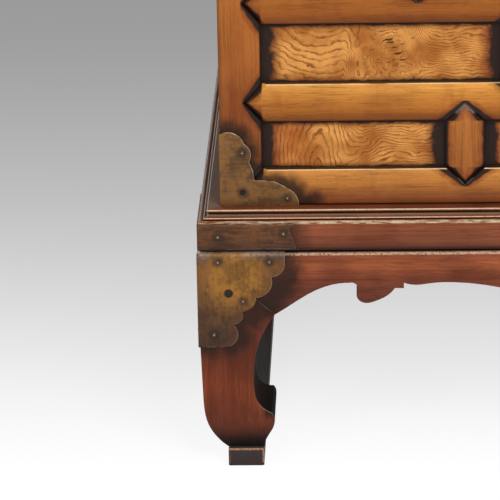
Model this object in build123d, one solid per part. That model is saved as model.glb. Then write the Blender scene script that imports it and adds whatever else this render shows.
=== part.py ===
from build123d import *
import os

os.makedirs("parts", exist_ok=True)

# A Korean drop-front chest (bandaji) on a carved stand. Millimetres, +Z up, front faces -Y.
# X = 0 is the chest's middle, Z = 0 is the floor, Y = 0 is the middle of the overall depth.

# ------------------------------------------------------------------ driving dimensions
# Body
body_width = 967.0
body_depth = 440.0
overhang = 22.0              # what stands furthest beyond the body's front and sides

# Heights of the body's frame, from the base tray upwards
bottom_rail_height = 31.3
row_1_height = 41.5
lower_rail_height = 33.0
row_2_height = 51.2
hinge_rail_height = 35.3
flap_zone_height = 297.5
drawer_rail_height = 33.0
drawer_zone_height = 84.0
top_rail_height = 33.0

# Frame members
stile_width = 35.0
stile_depth = 36.0
rail_depth = 24.0
muntin_width = 32.5
side_rail_height = 33.0
edge_round = 1.8             # worn arris round each member's face
point_reach = 15.0           # mitred point of a rail, into the stile
point_depth = 6.0            # thickness of that point
mitre_bevel = 4.0            # bevel along a mitred end's face
tenon_length = 12.0
tenon_thickness = 6.5
tenon_setback = 15.5         # from the member's face to the tenon
tenon_shoulder = 6.0         # narrower than the member by this on each edge

# Panels
panel_recess = 6.5
panel_thickness = 8.0
panel_tongue = 5.0
row_1_panels = 5
row_2_panels = 4
column_width = 113.85        # narrow panels beside the flap
column_panels = 3

# Stand
runner_height = 15.5
runner_width = 30.4
runner_setback = 5.8         # from the stand's front to the runner's end
runner_bevel = 1.2
stand_height = 179.0
stand_projection = 20.1
apron_thickness = 22.0
apron_arch_drop = 27.0       # top of the stand to the apron's lower edge
knee_reach = 64.2            # outer face to the inner end of the mitre
knee_drop = 54.9             # top of the stand to the inner end of the mitre
foot_taper = 21.8            # how far the leg's outer side curves in at the foot
foot_front_taper = 12.0      # the same at the leg's front
foot_reach = 53.3            # outer face to the inside of the foot
leg_extra_depth = 5.5        # the leg is this much deeper than it is wide
stand_top_round = 3.6

# Base tray and cornice
shadow_gap = 2.0
shadow_setback = 6.0
tray_height = 33.7
tray_projection = 19.3
ledge_projection = 12.0
bead_projection = 14.9
tray_inset = 22.0            # how far the mouldings reach under and over the body's frame
floor_thickness = 12.0
cornice_height = 8.0
top_thickness = 22.0
top_edge_round = 6.0

# Back and inside
back_thickness = 12.0
back_setback = 2.0
back_plank_count = 3
deck_thickness = 12.0
flap_stop_height = 8.0
flap_stop_depth = 10.0

# Flap
flap_gap = 1.0
flap_thickness = 24.0
flap_stile_width = 40.0
flap_rail_height = 36.0
flap_centre_width = 60.0
hinge_offset = 5.0           # hinge axis in front of the body's face
hinge_spacing = 400.0
hinge_width = 56.0
hinge_knuckle_radius = 4.7
hinge_pin_radius = 1.9
hinge_leaf_height = 33.0

# Drawers
drawer_count = 3
drawer_gap = 1.0
drawer_front_thickness = 16.0
drawer_side_thickness = 9.0
drawer_bottom_thickness = 6.0
drawer_side_height = 66.0
drawer_back_gap = 15.0       # behind a closed drawer
running_gap = 0.3

# Brass
plate_thickness = 0.8
body_plate_reach = 65.2      # along the tray's ledge, from the body's corner
body_plate_rise = 64.1       # up the stile
strap_reach = 81.5
strap_margin = 1.4           # under and over the strap on the fascia
strap_height = 22.2
stand_plate_reach = 73.2     # along the stand's top
stand_plate_drop = 83.7      # down the leg
stand_plate_lip = 1.2        # on the stand's top, past its rounded arris
hinge_leaf_thickness = 1.4
lock_plate_thickness = 1.5
lock_plate_width = 112.0
lock_plate_waist = 56.0
lock_plate_head = 35.0       # height of the wide part
lock_plate_tail = 80.0       # below the hasp's hinge
hasp_drop = 29.0             # from the flap's top edge to the hasp's hinge
pin_clearance = 0.05
part_clearance = 0.3
rosette_radius = 14.0
eye_radius = 4.0
eye_wire_radius = 1.2
ring_radius = 16.0
ring_wire_radius = 2.0
hasp_width = 16.0
hasp_thickness = 2.0
hasp_length = 58.0
hasp_slot_width = 6.0
hasp_slot_height = 17.0
hasp_knuckle_radius = 3.2
hasp_pin_radius = 1.5
staple_reach = 14.0
staple_height = 12.0
staple_wire = 3.2
staple_hole_radius = 3.2
handle_spacing = 100.0
handle_rod_radius = 3.5
handle_drop = 44.0
handle_axis_offset = 9.0
handle_post_radius = 7.0
handle_bend_radius = 9.0
handle_height = 620.0        # floor to the side handles' axis

# ------------------------------------------------------------------ derived places
half_width = body_width / 2
front = overhang / 2 - body_depth / 2
back = front + body_depth
inner_half = half_width - stile_width

stand_top = runner_height + stand_height
stand_half = half_width + stand_projection
stand_front = front - stand_projection
stand_middle_y = (stand_front + back) / 2
tray_bottom = stand_top + shadow_gap
ledge_top = tray_bottom + tray_height

bottom_rail_low = ledge_top
row_1_low = bottom_rail_low + bottom_rail_height
lower_rail_low = row_1_low + row_1_height
row_2_low = lower_rail_low + lower_rail_height
hinge_rail_low = row_2_low + row_2_height
flap_zone_low = hinge_rail_low + hinge_rail_height
drawer_rail_low = flap_zone_low + flap_zone_height
drawer_zone_low = drawer_rail_low + drawer_rail_height
top_rail_low = drawer_zone_low + drawer_zone_height
body_top = top_rail_low + top_rail_height
board_low = body_top + cornice_height
chest_top = board_low + top_thickness

post_inner = inner_half - column_width - muntin_width
post_centre = post_inner + muntin_width / 2
side_front = front + stile_depth
side_back = back - stile_depth
side_length = side_back - side_front
side_inner = half_width - rail_depth


# ------------------------------------------------------------------ helpers
def block(x0, x1, y0, y1, z0, z1):
    """A block between two opposite corners."""
    return Pos((x0 + x1) / 2, (y0 + y1) / 2, (z0 + z1) / 2) * Box(x1 - x0, y1 - y0, z1 - z0)


def rod(radius, length, x, y, z):
    """A round bar along X, centred on a point."""
    return Pos(x, y, z) * Rot(0, 90, 0) * Cylinder(radius, length)


def save(name, *solids):
    """Write one node: one solid, or a group of separate ones."""
    shape = solids[0] if len(solids) == 1 else Compound(children=list(solids))
    export_step(shape, f"parts/{name}.step")


def both_sides(solid):
    """A solid and its mirror image across the chest's middle."""
    return [solid, mirror(solid, about=Plane.YZ)]


def upright(outline, y, depth):
    """A closed outline in X and Z, made solid from the plane at y backwards."""
    return Pos(0, y, 0) * extrude(Plane.XZ * make_face(outline), amount=-depth)


def is_mitre(edge):
    """True for an edge that runs aslant, as the mitred ends of a frame member do."""
    along = edge % 0.5
    return max(abs(along.X), abs(along.Y), abs(along.Z)) < 0.99


def soften(solid, direction=Axis.Y, worn=lambda edge: not is_mitre(edge)):
    """Round the straight edges of the outermost face along an axis, as wear does."""
    edges = solid.faces().sort_by(direction)[0].edges()
    return fillet(edges.filter_by(worn), radius=edge_round)


def dress(member, direction=Axis.Y):
    """Bevel the mitred ends of a frame member's face and round its long edges."""
    face = member.faces().sort_by(direction)[0]
    bevelled = chamfer(face.edges().filter_by(is_mitre), length=mitre_bevel)
    return soften(bevelled, direction)


def bar(length, width, depth, low_reach, high_reach):
    """A frame member along X with its face at Y = 0: mitred points in front, tenons behind."""
    half = length / 2
    edge = width / 2
    points = [(-half, -edge), (half, -edge), (half + high_reach, 0), (half, edge), (-half, edge),
              (-half - low_reach, 0)]
    face_slab = upright(Polyline(*points, close=True), 0, point_depth)
    core = block(-half, half, 0, depth, -edge, edge)
    tenon = block(-half - tenon_length, half + tenon_length, tenon_setback,
                  tenon_setback + tenon_thickness, tenon_shoulder - edge, edge - tenon_shoulder)
    return face_slab + core + tenon


def level_bar(x0, x1, z_low, height, left_reach, right_reach):
    """A front member that lies level."""
    member = bar(x1 - x0, height, rail_depth, left_reach, right_reach)
    return Pos((x0 + x1) / 2, front, z_low + height / 2) * member


def standing_bar(x, z0, z1, width, low_reach, high_reach):
    """A front member that stands upright."""
    member = Rot(0, -90, 0) * bar(z1 - z0, width, rail_depth, low_reach, high_reach)
    return Pos(x, front, (z0 + z1) / 2) * member


def panel(x0, x1, z0, z1):
    """A front panel whose tongues sit in its neighbours' grooves."""
    face = front + panel_recess
    return block(x0 - panel_tongue, x1 + panel_tongue, face, face + panel_thickness,
                 z0 - panel_tongue, z1 + panel_tongue)


def openings_between(low, high, count, divider):
    """The ends of equal openings with dividers between them."""
    width = (high - low - divider * (count - 1)) / count
    return [(low + i * (width + divider), low + i * (width + divider) + width) for i in range(count)]


def divider_centres(spans):
    """The middles of the gaps between neighbouring openings."""
    return [(a[1] + b[0]) / 2 for a, b in zip(spans, spans[1:])]


# ------------------------------------------------------------------ stand
def leg_outline(taper, extra):
    """One face of a leg: straight outside, C-curve and hooked foot inside. From the outer face."""
    foot = runner_height
    knee = stand_top - knee_drop
    heel = foot_reach + extra
    reach = knee_reach + extra
    outer = Spline((0, foot + 112), (0.045 * taper, foot + 88), (0.07 * taper, foot + 70),
                   (0.095 * taper, foot + 52), (0.155 * taper, foot + 34), (0.23 * taper, foot + 26.5),
                   (0.49 * taper, foot + 14), (taper, foot))
    hook = Spline((heel, foot), (heel + 2, foot + 9), (heel + 8.3, foot + 21.8), (heel + 9.2, foot + 27),
                  (heel + 6.8, foot + 34.6))
    hollow = Spline((heel + 6.8, foot + 34.6), (heel + 1.8, foot + 37.2), (heel - 4.6, foot + 44.4),
                    (heel - 8, foot + 63), (heel - 5.6, foot + 89.1), (reach, knee))
    top = Polyline((reach, knee), (reach, stand_top), (0, stand_top), (0, foot + 112))
    return outer + Line((taper, foot), (heel, foot)) + hook + hollow + top


def front_apron_outline():
    """The front apron: mitred ends, a cloud-shaped drop near each leg and a drop in the middle."""
    arch = stand_top - apron_arch_drop
    corner_x = knee_reach - stand_half
    corner_z = stand_top - knee_drop
    cusp_x = -215.0

    def low(s, d):
        """A point at s from the mitre's inner end and d below the arch."""
        return (corner_x + s, arch - d)

    rise = Spline((corner_x, corner_z), low(11.8, 20.4), low(31.9, 7.7), low(51.8, 0.8), low(63, 0))
    lip = Spline(low(63, 0), low(68.6, 1.6), low(70.2, 5), low(68.8, 9.9))
    cloud = Spline(low(68.8, 9.9), low(69.6, 13.8), low(72.6, 16.9), low(77.9, 18.1), low(85, 16.3),
                   low(94.7, 11.5), low(101, 4.9))
    step = Polyline(low(101, 4.9), low(108.6, 5.1), low(108.6, 0.3))
    swell = Spline(low(108.6, 0.3), low(121.5, 2.1), low(134, 0.5), low(146.5, 0), low(169.3, 1.7),
                   low(189.1, 5.1), (cusp_x, arch - 17))
    wing = Spline((cusp_x, arch - 17), (cusp_x + 18, arch - 9), (cusp_x + 60, arch - 2),
                  (cusp_x + 120, arch), (-58, arch - 2.5))
    drop = Spline((-58, arch - 2.5), (-48, arch - 6), (-44, arch - 11.5))
    tongue = Spline((-44, arch - 11.5), (-24, arch - 13), (-9, arch - 17), (0, arch - 22))
    left = rise + lip + cloud + step + swell + wing + drop + tongue
    ends = Polyline((corner_x, corner_z), (-stand_half, stand_top), (0, stand_top))
    return left + ends + mirror(left + ends, about=Plane.YZ)


def arch_apron_outline(length, reach):
    """A side or rear apron, centred on x = 0: mitred ends and a plain arch."""
    half = length / 2
    arch = stand_top - apron_arch_drop
    corner_x = reach - half
    corner_z = stand_top - knee_drop
    rise = Spline((corner_x, corner_z), (corner_x + 12, corner_z + 7.5), (corner_x + 34, arch - 6.5),
                  (corner_x + 66, arch))
    left = rise + Line((corner_x + 66, arch), (0, arch))
    ends = Polyline((corner_x, corner_z), (-half, stand_top), (0, stand_top))
    return left + ends + mirror(left + ends, about=Plane.YZ)


def corner_wedge(half, y_face, into):
    """Plan of everything a front piece may fill: 45 degree mitres from the corners inwards."""
    far = 40.0
    points = [(-half - far, y_face - far), (half + far, y_face - far), (half - into, y_face + into),
              (into - half, y_face + into)]
    return extrude(make_face(Polyline(*points, close=True)), amount=chest_top)


def round_top_outside(solid, axis, last=False):
    """Round the top outer arris of an apron."""
    faces = solid.faces().sort_by(axis)
    face = faces[-1] if last else faces[0]
    return fillet(face.edges().sort_by(Axis.Z)[-1], radius=stand_top_round)


def build_stand():
    stand_length = back - stand_front
    side_reach = knee_reach + leg_extra_depth
    wedge = corner_wedge(stand_half, stand_front, apron_thickness + 1)
    turned_back = Plane.XZ.offset(-stand_middle_y)

    front_blank = upright(front_apron_outline(), stand_front, apron_thickness) & wedge
    rear_outline = arch_apron_outline(2 * stand_half, knee_reach)
    rear_full = upright(rear_outline, stand_front, apron_thickness) & wedge
    rear_blank = mirror(rear_full, about=turned_back)
    side_plane = Plane(origin=(-stand_half, stand_middle_y, 0), x_dir=(0, 1, 0), z_dir=(1, 0, 0))
    side_full = extrude(side_plane * make_face(arch_apron_outline(stand_length, side_reach)),
                        amount=apron_thickness)
    side_blank = side_full - wedge - mirror(wedge, about=turned_back)

    front_face = make_face(leg_outline(foot_taper, 0))
    side_face = make_face(leg_outline(foot_front_taper, leg_extra_depth))
    from_front = Plane(origin=(-stand_half, stand_front, 0), x_dir=(1, 0, 0), z_dir=(0, -1, 0))
    from_side = Plane(origin=(-stand_half, stand_front, 0), x_dir=(0, 1, 0), z_dir=(1, 0, 0))
    leg_blank = (extrude(from_front * front_face, amount=-side_reach)
                 & extrude(from_side * side_face, amount=knee_reach))
    front_leg = leg_blank - front_blank - side_blank
    rear_leg = mirror(leg_blank, about=turned_back) - rear_blank - side_blank

    runner_x = -stand_half + (foot_taper + foot_reach - runner_width) / 2
    runner = block(runner_x, runner_x + runner_width, stand_front + runner_setback, back, 0,
                   runner_height)
    worn_edges = (runner.faces().sort_by(Axis.Y)[0].edges() + runner.faces().sort_by(Axis.Z)[-1].edges()
                  - runner.faces().sort_by(Axis.Z)[0].edges() - runner.faces().sort_by(Axis.Y)[-1].edges())
    runner = chamfer(worn_edges, length=runner_bevel)

    front_apron = round_top_outside(front_blank, Axis.Y)
    side_apron = round_top_outside(side_blank, Axis.X)
    save("apron_front", front_apron)
    save("apron_rear", round_top_outside(rear_blank, Axis.Y, last=True))
    for name, solid in zip(("left", "right"), both_sides(side_apron)):
        save(f"apron_{name}", solid)
    for name, solid in zip(("left", "right"), both_sides(front_leg)):
        save(f"leg_front_{name}", solid)
    for name, solid in zip(("left", "right"), both_sides(rear_leg)):
        save(f"leg_rear_{name}", solid)
    for name, solid in zip(("left", "right"), both_sides(runner)):
        save(f"runner_{name}", solid)
    save("stand_corner_plates", *both_sides(stand_plate([front_apron, side_apron, front_leg])))


# ------------------------------------------------------------------ mouldings
def tray_profile():
    """Section of the base tray, projection from the body's face against height."""
    bead_top = ledge_top - 6.2
    fascia_top = ledge_top - 8.1
    nose_start = ledge_projection - 1.2
    inner = Polyline((nose_start, ledge_top), (-tray_inset, ledge_top), (-tray_inset, stand_top),
                     (tray_projection - shadow_setback, stand_top),
                     (tray_projection - shadow_setback, tray_bottom), (tray_projection, tray_bottom),
                     (tray_projection, fascia_top - 2.6))
    fascia = ThreePointArc((tray_projection, fascia_top - 2.6),
                           (tray_projection - 0.7, fascia_top - 0.7),
                           (tray_projection - 2.6, fascia_top))
    groove = Polyline((tray_projection - 2.6, fascia_top), (bead_projection - 0.1, fascia_top - 1),
                      (bead_projection, bead_top - 1.2))
    bead = ThreePointArc((bead_projection, bead_top - 1.2), (bead_projection - 0.4, bead_top - 0.35),
                         (bead_projection - 1.3, bead_top))
    cove = ThreePointArc((bead_projection - 1.3, bead_top), (ledge_projection - 1.9, ledge_top - 4.6),
                         (ledge_projection - 0.2, ledge_top - 2.4))
    nose = ThreePointArc((ledge_projection - 0.2, ledge_top - 2.4),
                         (ledge_projection, ledge_top - 0.9), (nose_start, ledge_top))
    return inner + fascia + groove + bead + cove + nose


def cornice_profile():
    """Section of the small moulding under the top board."""
    lower = Polyline((-tray_inset, board_low), (-tray_inset, body_top), (5.5, body_top))
    cove = ThreePointArc((5.5, body_top), (7.2, body_top + 3.6), (ledge_projection, body_top + 5))
    upper = Polyline((ledge_projection, body_top + 5), (ledge_projection, board_low),
                     (-tray_inset, board_low))
    return lower + cove + upper


def moulded_rim(profile, reach):
    """A moulding round the front and sides: the front piece and the left piece, mitred."""
    section = make_face(profile)
    wedge = corner_wedge(half_width, front, tray_inset + 1)
    front_plane = Plane(origin=(0, front, 0), x_dir=(0, -1, 0), z_dir=(-1, 0, 0))
    side_plane = Plane(origin=(-half_width, 0, 0), x_dir=(-1, 0, 0), z_dir=(0, 1, 0))
    front_piece = extrude(front_plane * section, amount=half_width + reach, both=True) & wedge
    side_piece = extrude(side_plane * section, amount=body_depth, both=True) - wedge
    side_piece &= block(-half_width - reach, tray_inset - half_width, front - reach, back, 0, chest_top)
    return front_piece, side_piece


def build_mouldings():
    front_piece, side_piece = moulded_rim(tray_profile(), tray_projection)
    inner = half_width - tray_inset
    save("base_moulding_front", front_piece)
    rear = block(-inner, inner, back - tray_inset, back, stand_top, ledge_top)
    save("base_moulding_returns", *both_sides(side_piece), rear)
    bottom = block(-inner, inner, front + tray_inset, back - tray_inset,
                   ledge_top - floor_thickness, ledge_top)
    save("bottom_board", bottom)

    front_piece, side_piece = moulded_rim(cornice_profile(), ledge_projection)
    rear = block(-inner, inner, back - tray_inset, back, body_top, board_low)
    save("cornice_moulding", front_piece, *both_sides(side_piece), rear)

    board_half = half_width + overhang
    board = block(-board_half, board_half, front - overhang, back, board_low, chest_top)
    rims = board.faces().filter_by(lambda face: abs(face.normal_at().Z) < 0.5).sort_by(Axis.Y)[:-1]
    rim_edges = ShapeList([edge for face in rims for edge in face.edges()])
    top_edges = rim_edges.group_by(Axis.Z)[-1].filter_by(lambda edge: edge.center().Y < back - 1)
    board = fillet(top_edges, radius=top_edge_round)
    save("top_board", board)


# ------------------------------------------------------------------ front frame
row_1_spans = openings_between(-inner_half, inner_half, row_1_panels, muntin_width)
row_2_spans = openings_between(-inner_half, inner_half, row_2_panels, muntin_width)
drawer_spans = openings_between(-inner_half, inner_half, drawer_count, muntin_width)
column_spans = openings_between(flap_zone_low, drawer_rail_low, column_panels, muntin_width)


def build_front():
    """The fixed frame of the front: stiles, rails, muntins, posts and panels."""
    rails = {
        "front_rail_bottom": (bottom_rail_low, bottom_rail_height),
        "front_rail_lower": (lower_rail_low, lower_rail_height),
        "hinge_rail": (hinge_rail_low, hinge_rail_height),
        "drawer_rail": (drawer_rail_low, drawer_rail_height),
        "front_rail_top": (top_rail_low, top_rail_height),
    }
    rail_solids = {name: level_bar(-inner_half, inner_half, low, height, point_reach, point_reach)
                   for name, (low, height) in rails.items()}
    stop = block(-post_inner, post_inner, front + flap_thickness + running_gap,
                 front + flap_thickness + flap_stop_depth, drawer_rail_low - flap_stop_height,
                 drawer_rail_low + drawer_rail_height / 2)
    stop_root = block(-post_inner, post_inner, front + rail_depth / 2,
                      front + flap_thickness + flap_stop_depth, drawer_rail_low,
                      drawer_rail_low + drawer_rail_height / 2)
    rail_solids["drawer_rail"] += stop + stop_root

    row_1_muntins = [standing_bar(x, row_1_low, lower_rail_low, muntin_width,
                                  bottom_rail_height / 2, lower_rail_height / 2)
                     for x in divider_centres(row_1_spans)]
    row_2_muntins = [standing_bar(x, row_2_low, hinge_rail_low, muntin_width,
                                  lower_rail_height / 2, hinge_rail_height / 2)
                     for x in divider_centres(row_2_spans)]
    posts = [standing_bar(x, flap_zone_low, drawer_rail_low, muntin_width,
                          hinge_rail_height / 2, drawer_rail_height / 2)
             for x in (-post_centre, post_centre)]
    dividers = [standing_bar(x, drawer_zone_low, top_rail_low, muntin_width,
                             drawer_rail_height / 2, top_rail_height / 2)
                for x in divider_centres(drawer_spans)]
    column_rails = [level_bar(sign * (inner_half - column_width / 2) - column_width / 2,
                              sign * (inner_half - column_width / 2) + column_width / 2,
                              z - muntin_width / 2, muntin_width,
                              point_reach if sign < 0 else muntin_width / 2,
                              muntin_width / 2 if sign < 0 else point_reach)
                    for sign in (-1, 1) for z in divider_centres(column_spans)]

    row_1 = [panel(x0, x1, row_1_low, lower_rail_low) for x0, x1 in row_1_spans]
    row_2 = [panel(x0, x1, row_2_low, hinge_rail_low) for x0, x1 in row_2_spans]
    column_x = [(-inner_half, -inner_half + column_width), (inner_half - column_width, inner_half)]
    columns = [panel(x0, x1, z0, z1) for x0, x1 in column_x for z0, z1 in column_spans]
    panels = row_1 + row_2 + columns

    stile = block(-half_width, -inner_half, front, side_front, ledge_top, body_top)
    stile = stile - list(rail_solids.values()) - column_rails - panels
    stile = stile - side_rail_blanks() - side_panel_solids()

    uprights = row_1_muntins + row_2_muntins + posts + dividers
    for name, rail in rail_solids.items():
        save(name, dress(rail) - uprights - panels)
    save("front_stiles", *both_sides(soften(stile, worn=beside_opening)))
    save("front_muntins", *[dress(m) - row_1 for m in row_1_muntins],
         *[dress(m) - row_2 for m in row_2_muntins])
    save("flap_posts", *[dress(p) - column_rails - columns for p in posts])
    save("drawer_dividers", *[dress(d) for d in dividers])
    save("column_rails", *[dress(r) - columns for r in column_rails])
    save("front_panels", *row_1, *row_2)
    save("column_panels", *columns)


def beside_opening(edge):
    """True for the edges of a stile's face between its mitres, which is where wear rounds it."""
    return abs(edge.center().X + inner_half) < 0.1


# ------------------------------------------------------------------ sides and back
def side_rail_levels():
    """The low edge and height of each side rail."""
    return [(bottom_rail_low, bottom_rail_height), (hinge_rail_low, hinge_rail_height),
            (handle_height - side_rail_height / 2, side_rail_height),
            (drawer_rail_low, drawer_rail_height), (top_rail_low, top_rail_height)]


def side_rail_blanks():
    """The left side's rails, pointed into the stile and the rear post."""
    return [Pos(-half_width, (side_front + side_back) / 2, low + height / 2) * Rot(0, 0, -90)
            * bar(side_length, height, rail_depth, point_reach, point_reach)
            for low, height in side_rail_levels()]


def side_panel_solids():
    """The left side's panels, between the rails."""
    levels = side_rail_levels()
    face = -half_width + panel_recess
    return [block(face, face + panel_thickness, side_front - panel_tongue, side_back + panel_tongue,
                  below[0] + below[1] - panel_tongue, above[0] + panel_tongue)
            for below, above in zip(levels, levels[1:])]


def build_sides_and_back():
    rails = side_rail_blanks()
    panels = side_panel_solids()
    plank_height = (body_top - ledge_top) / back_plank_count
    plank_half = inner_half + panel_tongue
    planks = [block(-plank_half, plank_half, back - back_setback - back_thickness,
                    back - back_setback, ledge_top + i * plank_height,
                    ledge_top + (i + 1) * plank_height) for i in range(back_plank_count)]
    post = block(-half_width, -inner_half, side_back, back, ledge_top, body_top)
    post = post - rails - panels - planks
    worn = [dress(rail, Axis.X) - panels for rail in rails]
    save("rear_posts", *both_sides(post))
    save("side_rails", *worn, *[mirror(rail, about=Plane.YZ) for rail in worn])
    save("side_panels", *panels, *[mirror(board, about=Plane.YZ) for board in panels])
    save("back_boards", *planks)


def build_inside():
    """The deck that the drawers stand on and the guides between them."""
    deck_front = front + flap_thickness + flap_stop_depth
    back_face = back - back_setback - back_thickness
    deck = block(-side_inner, side_inner, deck_front, back_face, drawer_zone_low - deck_thickness,
                 drawer_zone_low)
    corners = [block(-half_width, -inner_half, low, high, 0, chest_top)
               for low, high in ((front, side_front), (side_back, back))]
    deck = deck - [corner for solid in corners for corner in both_sides(solid)]
    guide_height = 24.0
    guides = [block(x - muntin_width / 2 + running_gap, x + muntin_width / 2 - running_gap,
                    front + rail_depth, back_face, drawer_zone_low, drawer_zone_low + guide_height)
              for x in divider_centres(drawer_spans)]
    end_guide = block(-side_inner, -inner_half - running_gap, side_front, side_back, drawer_zone_low,
                      drawer_zone_low + guide_height)
    save("drawer_deck", deck)
    save("drawer_guides", *guides, *both_sides(end_guide))


# ------------------------------------------------------------------ brass plates
def shares(width, height, *points):
    """Points given as shares of a plate's width and height."""
    return [(x * width, z * height) for x, z in points]


def body_plate_outline(edge):
    """The corner plate's face, from the body's corner: two arms with lobed ends."""
    neck, waist, crook, elbow, arm, lobe, tip_in, tip_top, shoulder = shares(
        body_plate_reach, body_plate_rise, (0.368, 0.6), (0.418, 0.477), (0.434, 0.345),
        (0.689, 0.33), (0.875, 0.223), (0.969, 0.133), (0.31, 0.84), (0.142, 1), (0.395, 0.713))
    foot = (body_plate_reach, 0)
    corner_top = (-edge, 0.97 * body_plate_rise)
    return (Polyline(neck, waist, crook, elbow, arm) + ThreePointArc(arm, lobe, foot)
            + Polyline(foot, (-edge, 0), corner_top) + ThreePointArc(corner_top, tip_top, tip_in)
            + ThreePointArc(tip_in, shoulder, neck))


def strap_outline(edge):
    """The strap round the tray's fascia, from its corner, with a bracketed end."""
    low = strap_margin
    high = low + strap_height
    nick_x, nick_z = strap_reach - 4, low + 0.57 * strap_height
    return (Polyline((strap_reach, low), (-edge, low), (-edge, high), (strap_reach, high))
            + ThreePointArc((strap_reach, high), (nick_x, low + 0.82 * strap_height), (nick_x, nick_z))
            + ThreePointArc((nick_x, nick_z), (strap_reach - 0.6, low + 0.29 * strap_height),
                            (strap_reach, low)))


def stand_plate_outline(edge):
    """The stand's corner plate, from the stand's top corner downwards: five lobes in a curve."""
    lobes = shares(stand_plate_reach, -stand_plate_drop, (1, 0.111), (0.972, 0.195), (0.843, 0.25),
                   (0.815, 0.403), (0.662, 0.47), (0.622, 0.568), (0.508, 0.622), (0.489, 0.716),
                   (0.399, 0.755), (0.448, 0.892), (0.312, 1))
    outline = Polyline(lobes[-1], (-edge, -stand_plate_drop), (-edge, -stand_top_round),
                       (stand_plate_reach, -stand_top_round), lobes[0])
    for i in range(0, len(lobes) - 2, 2):
        outline += ThreePointArc(lobes[i], lobes[i + 1], lobes[i + 2])
    return outline


def bent_plate(outline, half, y_face, z):
    """A plate bent round the front left corner of a body: the same outline on both faces."""
    shape = make_face(outline(plate_thickness))
    on_front = Plane(origin=(-half, y_face, z), x_dir=(1, 0, 0), z_dir=(0, -1, 0))
    on_side = Plane(origin=(-half, y_face, z), x_dir=(0, 1, 0), z_dir=(1, 0, 0))
    return (extrude(on_front * shape, amount=plate_thickness)
            + extrude(on_side * shape, amount=-plate_thickness))


def stand_plate(woods):
    """The stand's corner plate, its top edge bent over the stand's rounded arris."""
    outer_x = -stand_half - plate_thickness
    outer_y = stand_front - plate_thickness
    depth = plate_thickness + stand_top_round + stand_plate_lip
    low = stand_top - stand_top_round - 1
    high = stand_top + plate_thickness
    lip = (block(outer_x, stand_plate_reach - stand_half, outer_y, outer_y + depth, low, high)
           + block(outer_x, outer_x + depth, outer_y, stand_front + stand_plate_reach, low, high))
    top_edges = lip.edges().group_by(Axis.Z)[-1]
    outer_edges = [top_edges.filter_by(Axis.X).sort_by(Axis.Y)[0],
                   top_edges.filter_by(Axis.Y).sort_by(Axis.X)[0]]
    lip = fillet(outer_edges, radius=stand_top_round + plate_thickness)
    flat = bent_plate(stand_plate_outline, stand_half, stand_front, stand_top)
    return flat + lip - woods


def build_plates():
    low = bent_plate(body_plate_outline, half_width, front, ledge_top)
    middle = Plane.XY.offset((ledge_top + body_top) / 2)
    high = mirror(low, about=middle)
    strap = bent_plate(strap_outline, half_width + tray_projection, front - tray_projection,
                       tray_bottom)
    save("body_corner_plates", *both_sides(low), *both_sides(high))
    save("base_straps", *both_sides(strap))


# ------------------------------------------------------------------ rings, handles, hinges, lock
def eye(x, z):
    """A rosette with a loop that carries a ring, on the front plane."""
    rosette = Pos(x, front - plate_thickness / 2, z) * Rot(90, 0, 0) * Cylinder(
        rosette_radius, plate_thickness)
    loop = Pos(x, eye_y, z) * Rot(0, 90, 0) * Torus(eye_radius, eye_wire_radius)
    return rosette + loop


def ring(x, z):
    """A pull ring, hanging from its loop."""
    return Pos(x, eye_y, z - ring_radius) * Rot(90, 0, 0) * Torus(ring_radius, ring_wire_radius)


eye_y = front - plate_thickness - eye_radius - eye_wire_radius * 0.8


def leaf_outline(height):
    """A hinge leaf above its knuckles: a waist, a round shoulder and a small tip."""
    half = hinge_width / 2
    right = (Line((half, 0), (half, 8)) + ThreePointArc((half, 8), (half - 6, 11), (half - 8, 17))
             + ThreePointArc((half - 8, 17), (half - 7.5, height - 7), (12, height - 3.5))
             + ThreePointArc((12, height - 3.5), (5, height - 2.5), (0, height)))
    return right + Line((0, 0), (half, 0)) + mirror(right + Line((0, 0), (half, 0)), about=Plane.YZ)


def hinge_half(x, up, own_zones, other_zones):
    """One half of a hinge: a leaf on the face and its knuckles round the pin."""
    axis_y = front - hinge_offset
    shape = make_face(leaf_outline(hinge_leaf_height))
    if not up:
        shape = mirror(shape, about=Plane.XZ)
    plane = Plane(origin=(x, front, flap_zone_low), x_dir=(1, 0, 0), z_dir=(0, -1, 0))
    half_hinge = extrude(plane * shape, amount=hinge_leaf_thickness)
    for low, high in other_zones:
        half_hinge -= rod(hinge_knuckle_radius + part_clearance, high - low + 2 * part_clearance,
                          x + (low + high) / 2, axis_y, flap_zone_low)
    for low, high in own_zones:
        half_hinge += rod(hinge_knuckle_radius, high - low, x + (low + high) / 2, axis_y,
                          flap_zone_low)
    return half_hinge - rod(hinge_pin_radius + pin_clearance, hinge_width + 10, x, axis_y,
                            flap_zone_low)


def build_hinges():
    half = hinge_width / 2
    middle = [(-10.5, 10.5)]
    outer = [(-half, -10.5 - part_clearance), (10.5 + part_clearance, half)]
    places = (-hinge_spacing / 2, hinge_spacing / 2)
    pins = [rod(hinge_pin_radius, hinge_width + 2, x, front - hinge_offset, flap_zone_low)
            for x in places]
    save("hinge_leaves_body", *[hinge_half(x, False, middle, outer) for x in places], *pins)
    save("hinge_leaves_flap", *[hinge_half(x, True, outer, middle) for x in places])


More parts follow.
